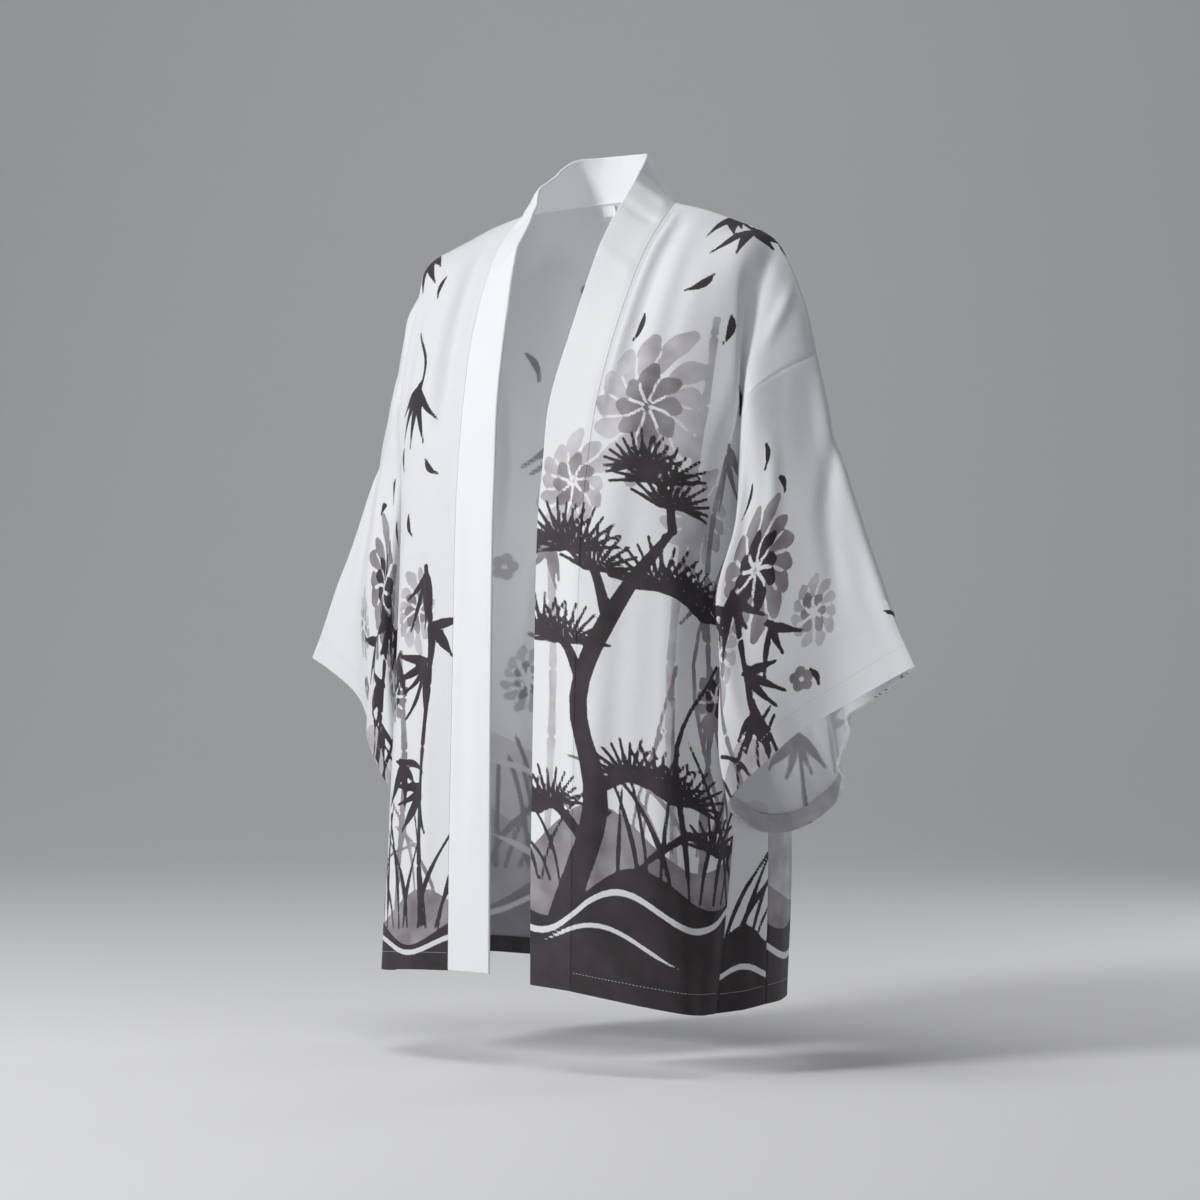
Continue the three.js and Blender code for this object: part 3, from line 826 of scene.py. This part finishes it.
def band_print(a, b):
    """The near band carries on the left front's design, with the same seed; the rest is plain."""
    neck_middle = b.max() / 2
    p = Print(-a, b, 41)
    left_front_design(p)
    plain = b > neck_middle * BAND_PRINTED
    for ink in INKS:
        p.fields[ink][plain] = NO_INK
    return p.fields


# Finishes

def shade(hexa):
    """An sRGB hex colour as linear RGBA."""
    parts = [int(hexa[i:i + 2], 16) / 255 for i in (1, 3, 5)]
    return [c / 12.92 if c <= 0.04045 else ((c + 0.055) / 1.055) ** 2.4 for c in parts] + [1.0]


def put(tree, kind, settings=None, **links):
    """Adds a node. settings are its properties and input values, links its inputs' sources."""
    node = tree.nodes.new(kind)
    for name, value in (settings or {}).items():
        if isinstance(name, int) or name in node.inputs:
            node.inputs[name].default_value = value
        else:
            setattr(node, name, value)
    for name, source in links.items():
        key = int(name[1:]) if name[1:].isdigit() else name.replace("_", " ")
        tree.links.new(source, node.inputs[key])
    return node


def new_finish(name):
    finish = bpy.data.materials.new(name)
    finish.use_nodes = True
    tree = finish.node_tree
    tree.nodes.clear()
    return finish, tree


def crepe_weave(tree, strength):
    """Crepe's pebbled face over its plain weave. Real yarns lie 0.25 mm apart, too fine to show
    from a step away, so the pebbles are drawn 1.6 mm wide and the threads 1.8 mm apart."""
    flat = put(tree, "ShaderNodeUVMap", {"uv_map": "UVMap"})
    pebble = put(tree, "ShaderNodeTexNoise", {"Scale": 620.0, "Detail": 3.0, "Roughness": 0.6},
                 Vector=flat.outputs["UV"])
    warp, weft = [
        put(tree, "ShaderNodeTexWave", {"Scale": 177.0, "Distortion": 1.2, "Detail": 2.0,
                                        "wave_type": "BANDS", "bands_direction": way},
            Vector=flat.outputs["UV"])
        for way in "XY"]
    cross = put(tree, "ShaderNodeMath", {"operation": "ADD"},
                i0=warp.outputs["Fac"], i1=weft.outputs["Fac"])
    threads = put(tree, "ShaderNodeMath", {"operation": "MULTIPLY", 1: 0.22}, i0=cross.outputs[0])
    height = put(tree, "ShaderNodeMath", {"operation": "ADD"},
                 i0=pebble.outputs["Fac"], i1=threads.outputs[0])
    bump = put(tree, "ShaderNodeBump", {"Strength": strength, "Distance": 0.0006},
               Height=height.outputs[0])
    return flat, bump


def cloth_finish(name, bare, prints, roughness, through, weave=0.35, soft_edge=0.35):
    """Woven cloth with up to four printed inks, laid on in order, each cut from its field. Its bare
    colour varies by 3 %, and each ink pools from its dark tone to its pale one."""
    finish, tree = new_finish(name)
    flat, bump = crepe_weave(tree, weave)
    cloud, pool, fray = [
        put(tree, "ShaderNodeTexNoise", {"Scale": scale, "Detail": detail}, Vector=flat.outputs["UV"])
        for scale, detail in ((9.0, 3.0), (26.0, 2.0), (260.0, 2.0))]
    frayed = put(tree, "ShaderNodeMath", {"operation": "MULTIPLY_ADD", 1: 1.1, 2: -0.55},
                 i0=fray.outputs["Fac"])
    wash = put(tree, "ShaderNodeMapRange", {"From Min": 0.34, "From Max": 0.66},
               Value=pool.outputs["Fac"])
    light = [min(1.0, c * 1.03) for c in shade(bare)[:3]] + [1.0]
    colour = put(tree, "ShaderNodeMix", {"data_type": "RGBA", 6: shade(bare), 7: light},
                 i0=cloud.outputs["Fac"]).outputs[2]
    for field, dark, pale in prints:
        ink = put(tree, "ShaderNodeAttribute", {"attribute_type": "GEOMETRY", "attribute_name": field})
        edge = put(tree, "ShaderNodeMath", {"operation": "ADD"},
                   i0=ink.outputs["Fac"], i1=frayed.outputs[0])
        cover = put(tree, "ShaderNodeMapRange", {"From Min": -soft_edge, "From Max": soft_edge},
                    Value=edge.outputs[0])
        tone = put(tree, "ShaderNodeMix", {"data_type": "RGBA", 6: shade(dark), 7: shade(pale)},
                   i0=wash.outputs[0])
        colour = put(tree, "ShaderNodeMix", {"data_type": "RGBA"}, i0=cover.outputs[0], i6=colour,
                     i7=tone.outputs[2]).outputs[2]
    face = put(tree, "ShaderNodeBsdfPrincipled",
               {"Roughness": roughness, "IOR": 1.5, "Sheen Weight": 0.12, "Sheen Roughness": 0.5},
               Base_Color=colour, Normal=bump.outputs["Normal"])
    glow = put(tree, "ShaderNodeBsdfTranslucent", Color=colour, Normal=bump.outputs["Normal"])
    cloth = put(tree, "ShaderNodeMixShader", {"Fac": through},
                i1=face.outputs["BSDF"], i2=glow.outputs["BSDF"])
    put(tree, "ShaderNodeOutputMaterial", Surface=cloth.outputs["Shader"])
    return finish


# Each ink on the cloth's face, with its dark tone and its pale one
FACE_INKS = [("ink_pale", "#bab6bb", "#dfdde1"), ("ink_grey", "#827c81", "#b0abb0"),
             ("ink_dark", "#2f282c", "#42393e"), ("ink_white", "#eceef1", "#f2f3f5")]

# Polyester crepe, heat printed: a chalky matt white with soft-edged charcoal and grey inks
crepe_face = cloth_finish("printed polyester crepe", "#f4f5f7", FACE_INKS, 0.72, 0.2)
# The back of the same cloth: the print shows through faint and grey
crepe_inside = cloth_finish(
    "unprinted side of polyester crepe", "#e9eaed",
    [("ink_pale", "#dadade", "#e0e1e4"), ("ink_grey", "#c3c3c8", "#cfcfd3"),
     ("ink_dark", "#9d9ca1", "#acabb0"), ("ink_white", "#e2e3e6", "#e6e7ea")], 0.78, 0.3, soft_edge=0.9)
# The band: two layers of the same crepe over interfacing, crisp and evenly white
band_face = cloth_finish("interfaced crepe band", "#f7f8fa", FACE_INKS, 0.68, 0.08, weave=0.25)


def plain_finish(name, colour, roughness, sheen, pitch):
    finish, tree = new_finish(name)
    place = put(tree, "ShaderNodeTexCoord")
    grain = put(tree, "ShaderNodeTexNoise", {"Scale": 1 / pitch, "Detail": 3.0},
                Vector=place.outputs["Object"])
    bump = put(tree, "ShaderNodeBump", {"Strength": 0.3, "Distance": 0.0003},
               Height=grain.outputs["Fac"])
    deep = [c * 0.9 for c in shade(colour)[:3]] + [1.0]
    tone = put(tree, "ShaderNodeMix", {"data_type": "RGBA", 6: deep, 7: shade(colour)},
               i0=grain.outputs["Fac"])
    face = put(tree, "ShaderNodeBsdfPrincipled",
               {"Roughness": roughness, "IOR": 1.5, "Sheen Weight": sheen},
               Base_Color=tone.outputs[2], Normal=bump.outputs["Normal"])
    put(tree, "ShaderNodeOutputMaterial", Surface=face.outputs["BSDF"])
    return finish


# Spun polyester thread: a little duller and greyer than the cloth, so that rows of it read
thread_finish = plain_finish("spun polyester thread", "#dcdde0", 0.6, 0.1, 0.0008)
# Satin label tape, blank: smoother and brighter than the crepe
tape_finish = plain_finish("satin label tape", "#fafafa", 0.42, 0.1, 0.0012)


# Fold tables: across and up where it starts, across and up where it ends, width, height, drift.
# The near front's ridge and troughs beside the band come first, then its long falls.
FRONT_FOLDS = {
    1: [
        (11, 815, 9, 520, 3.6, 2.6, 1), (4, 815, 4, 540, 3.0, -1.6, 1),
        (22, 800, 26, 560, 9, -4.5, 3), (36, 790, 44, 500, 11, 3.5, -4),
        (60, 560, 40, 60, 16, -3.5, 6), (92, 520, 84, 20, 14, 3.8, -5),
        (118, 480, 124, 40, 12, -3.2, 4), (30, 330, 22, 10, 13, 2.6, 3),
        (104, 760, 112, 520, 15, -2.4, -5), (72, 740, 80, 520, 13, 2.2, 4),
        (140, 620, 132, 330, 9, -3.4, 4), (150, 250, 146, 10, 12, 3.0, -3),
        (128, 800, 150, 640, 9, -3.2, 5), (164, 770, 176, 640, 8, 3.0, -4),
    ],
    -1: [
        (22, 790, 30, 520, 10, -4.0, -3), (44, 770, 50, 540, 12, 3.0, 4),
        (54, 520, 46, 40, 15, -3.8, -5), (84, 500, 92, 30, 13, 3.6, 5),
        (122, 460, 112, 50, 12, -3.4, -4), (28, 300, 30, 10, 12, 2.4, -2),
        (98, 740, 108, 530, 14, -2.6, 4), (150, 260, 152, 20, 12, 2.8, 3),
        (130, 800, 148, 650, 9, -3.0, -4), (166, 760, 174, 640, 8, 2.8, 4),
    ],
}
# The back's folds are all made deeper than the table says, by this factor
BACK_DEPTH = 1.5
BACK_FOLDS = [
    (-18, 640, -34, 30, 17, -3.6, 7), (26, 660, 40, 20, 15, 3.4, -6), (70, 560, 60, 40, 16, -3.8, 5),
    (-74, 580, -66, 30, 15, 3.6, -6), (-118, 520, -126, 40, 13, -3.4, 4),
    (112, 540, 124, 30, 13, 3.2, -5), (158, 480, 150, 20, 12, -3.2, 4), (-160, 470, -154, 30, 12, 3.2, 3),
    (-120, 700, -60, 600, 12, -2.4, 8), (126, 690, 70, 590, 12, -2.6, -9),
    (60, 800, 150, 700, 12, 2.2, 6), (-64, 800, -148, 710, 12, 2.4, -7),
    (2, 600, -6, 60, 20, 3.4, -5), (-46, 420, -52, 10, 11, -3.0, 4), (90, 360, 96, 10, 11, -2.8, -4),
    (140, 560, 160, 330, 10, 3.4, 6), (-138, 560, -160, 320, 10, 3.6, -6),
    (172, 620, 178, 420, 9, -4.0, 4), (-172, 620, -178, 420, 9, -4.0, -4),
]
# Sleeves: across is the way round from the seam under the arm, up is above the cuff
SLEEVE_FOLDS = [
    (60, 300, 84, 30, 13, -4.2, 6), (96, 260, 120, 10, 11, 3.8, -6), (138, 300, 150, 60, 12, -3.6, 5),
    (170, 290, 176, 90, 10, 2.6, -4), (30, 260, 44, 20, 12, 3.4, 5),
    (262, 290, 250, 60, 12, -3.6, 6), (300, 280, 292, 20, 13, 3.6, -6), (340, 270, 338, 30, 13, -4.0, 6),
    (380, 250, 372, 30, 11, 3.2, -5),
    (436, 160, 440, -70, 12, 6.0, 4), (462, 170, 470, -70, 11, -8.0, -4), (490, 170, 500, -70, 12, 7.5, 4),
    (520, 150, 530, -60, 11, -6.5, -3), (548, 140, 556, -60, 11, 4.5, 2),
]
# The band: across from its seam, up from its hem; creases spread from where it bends at the neck
BAND_FOLDS = [
    (-6, 762, 60, 792, 6, -1.8, 2), (-6, 790, 60, 812, 5, 1.7, -2), (-8, 826, 60, 832, 6, -1.5, 2),
    (-6, 700, 60, 738, 8, 1.2, 3), (30, 560, 18, 120, 12, -1.2, 4), (14, 420, 30, 60, 10, 1.0, -3),
]
GUSSET_FOLDS = [(20, 430, 24, 30, 9, -2.2, 3)]


# Waves and folds fade in over these distances from a panel's side edges and from its top
SIDE_HOLD = 9
TOP_HOLD = 30


def relief(part, folds, waves, seed, sewn):
    """How far the cloth stands out from the plain form, in mm, held back near its seams."""
    a = part["a"]
    b = part["b"]
    near = np.minimum(a - a.min(axis=1, keepdims=True), a.max(axis=1, keepdims=True) - a)
    top = b.max(axis=0, keepdims=True) - b
    hold = smooth(near, 0, SIDE_HOLD) * smooth(top, 0, TOP_HOLD)
    height = folds_height(a, b, folds) + slack(a, b, waves, seed)
    return height * hold - seam_ditch(a.shape, sewn)


def formed(part, folds, waves, seed, sewn, inside_out):
    out = outward_of(part["points"], inside_out)
    return part["points"] + out * relief(part, folds, waves, seed, sewn)[..., None]


# The turned-in layer of a hem lies this far inside the panel, and is thin enough not to touch it
HEM_INSET = CLOTH * 0.95
HEM_CLOTH = CLOTH * 0.7


def hem_parts(node, part, points, over, prints):
    """The turned-in hem inside a panel, and the row of stitches that holds it."""
    out = outward_of(points, over)
    rows = np.flatnonzero(part["b"].min(axis=1) < HEM_DEPTH)
    low = slice(rows[0] - 1, None)
    strip_points = points[low] - out[low] * HEM_INSET
    fields = prints(part["a"][low], -part["b"][low])
    strip = cloth_sheet(f"hem_{node}", strip_points, part["a"][low], part["b"][low], fields, HEM_CLOTH,
                        [crepe_face, crepe_inside], over)
    line = points[low][0] + out[low][0] * (CLOTH / 2)
    thread = thread_row(f"stitches_{node}", line)
    for piece in (strip, thread):
        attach(piece, "root")
    return [strip, thread]


# Stitches and thread are drawn coarser than real ones, so that the row shows from a step away
STITCH_PITCH = 3.6
STITCH_LENGTH = 2.5
THREAD = 0.55


def thread_row(name, line):
    """Separate stitches of sewing thread along a line on the cloth."""
    run = np.concatenate([[0], np.cumsum(np.linalg.norm(np.diff(line, axis=0), axis=1))])
    bpy.ops.object.select_all(action="DESELECT")
    bpy.ops.mesh.primitive_ico_sphere_add(subdivisions=1, radius=0.5 * MM)
    stitch = bpy.context.object
    stitch.data.transform(Matrix.Diagonal((STITCH_LENGTH, THREAD, THREAD, 1)))
    stitch.data.materials.append(thread_finish)
    copies = []
    for s in np.arange(STITCH_PITCH, run[-1] - STITCH_PITCH, STITCH_PITCH):
        middle = Vector([float(np.interp(s, run, line[:, k])) * MM for k in range(3)])
        ahead = Vector([float(np.interp(s + 1, run, line[:, k])) * MM for k in range(3)])
        turn = (ahead - middle).to_track_quat("X", "Z").to_matrix().to_4x4()
        copy = stitch.copy()
        copy.data = stitch.data.copy()
        copy.data.transform(Matrix.Translation(middle) @ turn)
        bpy.context.collection.objects.link(copy)
        copies.append(copy)
    bpy.data.objects.remove(stitch)
    bpy.ops.object.select_all(action="DESELECT")
    for copy in copies:
        copy.select_set(True)
    bpy.context.view_layer.objects.active = copies[0]
    bpy.ops.object.join()
    thread = bpy.context.object
    thread.name = name
    bpy.ops.object.shade_smooth()
    return thread


def make_panel(node, part, folds, waves, seed, sewn, over, printed):
    """One panel of printed cloth with its hem. Over says that its grid's own normals face in."""
    points = formed(part, folds, waves, seed, sewn, over)
    fields = printed(part["a"], part["b"])
    piece = cloth_sheet(f"{node}_cloth", points, part["a"], part["b"], fields, CLOTH,
                        [crepe_face, crepe_inside], not over)
    extras = hem_parts(node, part, points, over, printed)
    declare(piece, node)


def on_side(base, side):
    return dict(base, points=sided(base["points"], side))


def make_back():
    folds = [(*row[:5], row[5] * BACK_DEPTH, row[6]) for row in BACK_FOLDS]
    make_panel("back", back_grid(BACK_FINE), folds, 1.1, 5, ("top", "left", "right"), True, back_print)


def make_fronts():
    base = front_grid(FRONT_FINE)
    for side, name in SIDES:
        make_panel(f"front_{name}", on_side(base, side), FRONT_FOLDS[side], 0.9, 11 + side,
                   ("top", "right"), side < 0, lambda a, b: front_print(a, b, side))


def make_gussets():
    base = gusset_grid(FINE)
    for side, name in SIDES:
        make_panel(f"gusset_{name}", on_side(base, side), GUSSET_FOLDS, 0.3, 31,
                   ("top", "left", "right"), side < 0, lambda a, b: gusset_print(a, b, side))


def make_sleeves():
    base = sleeve_grid(FINE)
    for side, name in SIDES:
        make_panel(f"sleeve_{name}", on_side(base, side), SLEEVE_FOLDS, 0.9, 21 + side,
                   ("top",), side < 0, lambda a, b: sleeve_print(a, b, side))


# Distances from the band's seam: where its waves end, where its creases have come in, and where it
# has risen from the level of the thinner cloth
BAND_WAVY = 48
BAND_CREASED = 10
BAND_RISEN = 7
BAND_EDGE_RADIUS = 1.1


def make_collar():
    part = collar_grid(FINE)
    a = part["a"]
    b = part["b"]
    out = outward_of(part["points"])
    rise = slack(a, b, 0.5, 3) * np.sin(np.clip(a / BAND_WAVY, 0, 1) * math.pi)
    for up in (b, b.max() - b):
        rise += folds_height(a, up, BAND_FOLDS) * smooth(a, 0, BAND_CREASED)
    rise -= (BAND - CLOTH) / 2 * (1 - smooth(a, 0, BAND_RISEN))
    points = part["points"] + out * rise[..., None]
    piece = cloth_sheet("collar_band", points, a, b, band_print(a, b), BAND, [band_face], True)
    rim = piece.modifiers.new("rounded fold", "BEVEL")
    rim.width = BAND_EDGE_RADIUS * MM
    rim.segments = 2
    rim.limit_method = "ANGLE"
    rim.angle_limit = math.radians(50)
    apply_modifiers(piece)
    declare(piece, "collar")


LABEL_WIDE = 16.0
LABEL_TALL = 11.0
LABEL_TAPE = 0.6
LABEL_ASIDE = -20.0
# It starts this far below the seam, and bends with the back from the first of these places down
# it to the second, which it would reach at this drop
LABEL_START = 0.4
LABEL_ROWS = (0.02, 0.45)
LABEL_REACH = 13.0
# How much it drops for each mm of its length, and the way off the back's inside: ahead and down
LABEL_DROP = 0.92
OFF_BACK = (0.89, 0.45)
# It stands off the cloth by this much, and by more at its fold and at its two ends
LABEL_LIFT = 1.6
LABEL_FOLD_LIFT = 1.5
LABEL_END_CURL = 1.4


def make_label():
    """A blank folded tape, sewn into the neck seam. It hangs inside and lifts a little off the
    back at its fold, and its two ends curl."""
    drop, across = np.meshgrid(np.linspace(LABEL_START, LABEL_TALL, 12), np.linspace(-0.5, 0.5, 15),
                               indexing="ij")
    x = LABEL_ASIDE + across * LABEL_WIDE
    top, low = [back_at([row], np.linspace(0, 1, 11))[0] for row in LABEL_ROWS]
    share = drop / LABEL_REACH
    y = np.interp(-x, top[:, 0], top[:, 1]) * (1 - share) + np.interp(-x, low[:, 0], low[:, 1]) * share
    z = np.interp(-x, top[:, 0], top[:, 2]) - drop * LABEL_DROP
    curl = LABEL_END_CURL * (2 * np.abs(across)) ** 6
    lift = LABEL_LIFT + LABEL_FOLD_LIFT * (drop / LABEL_TALL) ** 2 + curl
    points = np.stack([x, y - OFF_BACK[0] * lift, z - OFF_BACK[1] * lift], axis=2)
    piece = cloth_sheet("blank_neck_label", points, x - x.min(), LABEL_TALL - drop, {}, LABEL_TAPE,
                        [tape_finish])
    declare(piece, "neck_label")


make_back()
make_fronts()
make_gussets()
make_sleeves()
make_collar()
make_label()


# Stage, light and camera

VIEW = math.radians(36)
EYE_HEIGHT = -0.391
DISTANCE = 3.5
FLOOR = -0.843
WALL_AT = 5.6
SWEEP = 3.2
# The sweep's steps, how far its floor reaches towards the camera, how high its wall stands above
# the curve, its width, and the shares of it at which its floor and its curve end
SWEEP_STEPS = 40
SWEEP_AHEAD = 9
WALL_HIGH = 3.5
SWEEP_WIDE = 40
FLOOR_END = 0.3
CURVE_END = 0.8


def painted_shade_stage_finish(name, floor, wall, near, far):
    """Matt paint that turns from the floor's colour to the wall's darker one between two distances behind the
    garment, in metres. The darkening is painted shade, standing in for the light falling off towards the
    wall."""
    finish, tree = new_finish(name)
    place = put(tree, "ShaderNodeTexCoord")
    depth = put(tree, "ShaderNodeVectorMath",
                {"operation": "DOT_PRODUCT", 1: (-math.sin(VIEW), math.cos(VIEW), 0)},
                i0=place.outputs["Object"])
    fade = put(tree, "ShaderNodeMapRange", {"interpolation_type": "SMOOTHSTEP", "From Min": near,
                                           "From Max": far}, Value=depth.outputs["Value"])
    tone = put(tree, "ShaderNodeMix", {"data_type": "RGBA", 6: shade(floor), 7: shade(wall)},
               i0=fade.outputs[0])
    face = put(tree, "ShaderNodeBsdfPrincipled", {"Roughness": 0.85}, Base_Color=tone.outputs[2])
    put(tree, "ShaderNodeOutputMaterial", Surface=face.outputs["BSDF"])
    return finish


def backdrop():
    """A studio sweep: floor, a wide curve and a wall, square to the camera."""
    bpy.ops.object.select_all(action="DESELECT")
    bpy.ops.mesh.primitive_grid_add(x_subdivisions=SWEEP_STEPS, y_subdivisions=2, size=1)
    sweep = bpy.context.object
    sweep.name = "backdrop"
    run = np.empty(len(sweep.data.vertices) * 3)
    sweep.data.vertices.foreach_get("co", run)
    run = run.reshape(-1, 3)
    step = np.rint((run[:, 0] + 0.5) * SWEEP_STEPS).astype(int)
    place = np.linspace(0, 1, SWEEP_STEPS + 1)[step]
    depth = np.zeros(len(run))
    height = np.zeros(len(run))
    floor = place < FLOOR_END
    depth[floor] = -SWEEP_AHEAD + (WALL_AT - SWEEP + SWEEP_AHEAD) * place[floor] / FLOOR_END
    curve = (place >= FLOOR_END) & (place < CURVE_END)
    turn = (place[curve] - FLOOR_END) / (CURVE_END - FLOOR_END) * math.pi / 2
    depth[curve] = WALL_AT - SWEEP + SWEEP * np.sin(turn)
    height[curve] = SWEEP * (1 - np.cos(turn))
    wall = place >= CURVE_END
    depth[wall] = WALL_AT
    height[wall] = SWEEP + (place[wall] - CURVE_END) / (1 - CURVE_END) * WALL_HIGH
    aside = run[:, 1] * SWEEP_WIDE
    x = -depth * math.sin(VIEW) + aside * math.cos(VIEW)
    y = depth * math.cos(VIEW) + aside * math.sin(VIEW)
    sweep.data.vertices.foreach_set("co", np.stack([x, y, height + FLOOR], axis=1).ravel())
    sweep.data.update()
    # The wall's darker grey is painted shade for the light's fall-off towards the back of the sweep
    sweep.data.materials.append(painted_shade_stage_finish("studio sweep with painted shade", "#fafafb", "#d2d3d5", 0.0, 3.4))
    activate(sweep)
    bpy.ops.object.shade_smooth()
    return sweep


def lamp(name, right, towards, height, size, power, aim=(0, 0, -0.4)):
    """An area light placed as seen from the camera: right of the garment, towards the camera."""
    x = right * math.cos(VIEW) + towards * math.sin(VIEW)
    y = right * math.sin(VIEW) - towards * math.cos(VIEW)
    data = bpy.data.lights.new(name, "AREA")
    data.shape = "RECTANGLE"
    data.size, data.size_y = size
    data.energy = power
    light = bpy.data.objects.new(name, data)
    bpy.context.collection.objects.link(light)
    light.location = (x, y, height)
    way = np.array(aim, float) - np.array([x, y, height])
    level = math.hypot(way[0], way[1])
    light.rotation_euler = (math.atan2(level, -way[2]), 0, math.atan2(way[1], way[0]) - math.pi / 2)
    return light


backdrop()
lamp("key softbox", -2.8, 1.5, 0.9, (0.7, 1.0), 68, (0, 0, -0.35))
lamp("overhead bank", -0.5, 0.3, 2.2, (1.2, 1.0), 17, (0, -0.1, -0.8))
lamp("rim strip", 1.8, -1.3, -0.1, (0.5, 1.4), 9, (0.3, 0, -0.5))
lamp("front fill", 0.2, 4.2, 0.2, (2.4, 2.0), 3)
lamp("wall wash", 0.0, -1.8, 2.6, (4.0, 1.0), 36, (-3.3, 4.5, 0.6))
# Weak lamps in the hollows, out of the camera's sight, brighten the insides
for name, x, y, z, high, power in (("light in the body", 0, -0.1, -0.36, 0.5, 0.4),
                                   ("light in the left sleeve", 0.258, -0.02, -0.45, 0.2, 0.034),
                                   ("light in the right sleeve", -0.258, -0.02, -0.45, 0.2, 0.034)):
    glow = lamp(name, 0, 0, z, (0.04, high), power)
    glow.location = (x, y, z)
    glow.rotation_euler = (math.pi / 2, 0, 0)
    glow.visible_camera = False

world = bpy.data.worlds.new("studio air")
world.use_nodes = True
world.node_tree.nodes["Background"].inputs["Color"].default_value = shade("#e6e8ee")
world.node_tree.nodes["Background"].inputs["Strength"].default_value = 0.17
bpy.context.scene.world = world
bpy.context.scene.view_settings.view_transform = "Standard"

lens = bpy.data.cameras.new("studio camera")
lens.lens = 105
lens.sensor_width = 36
camera = bpy.data.objects.new("studio camera", lens)
bpy.context.collection.objects.link(camera)
camera.location = (DISTANCE * math.sin(VIEW), -DISTANCE * math.cos(VIEW), EYE_HEIGHT)
camera.rotation_euler = (math.pi / 2, 0, VIEW)
bpy.context.scene.camera = camera

bpy.context.view_layer.update()
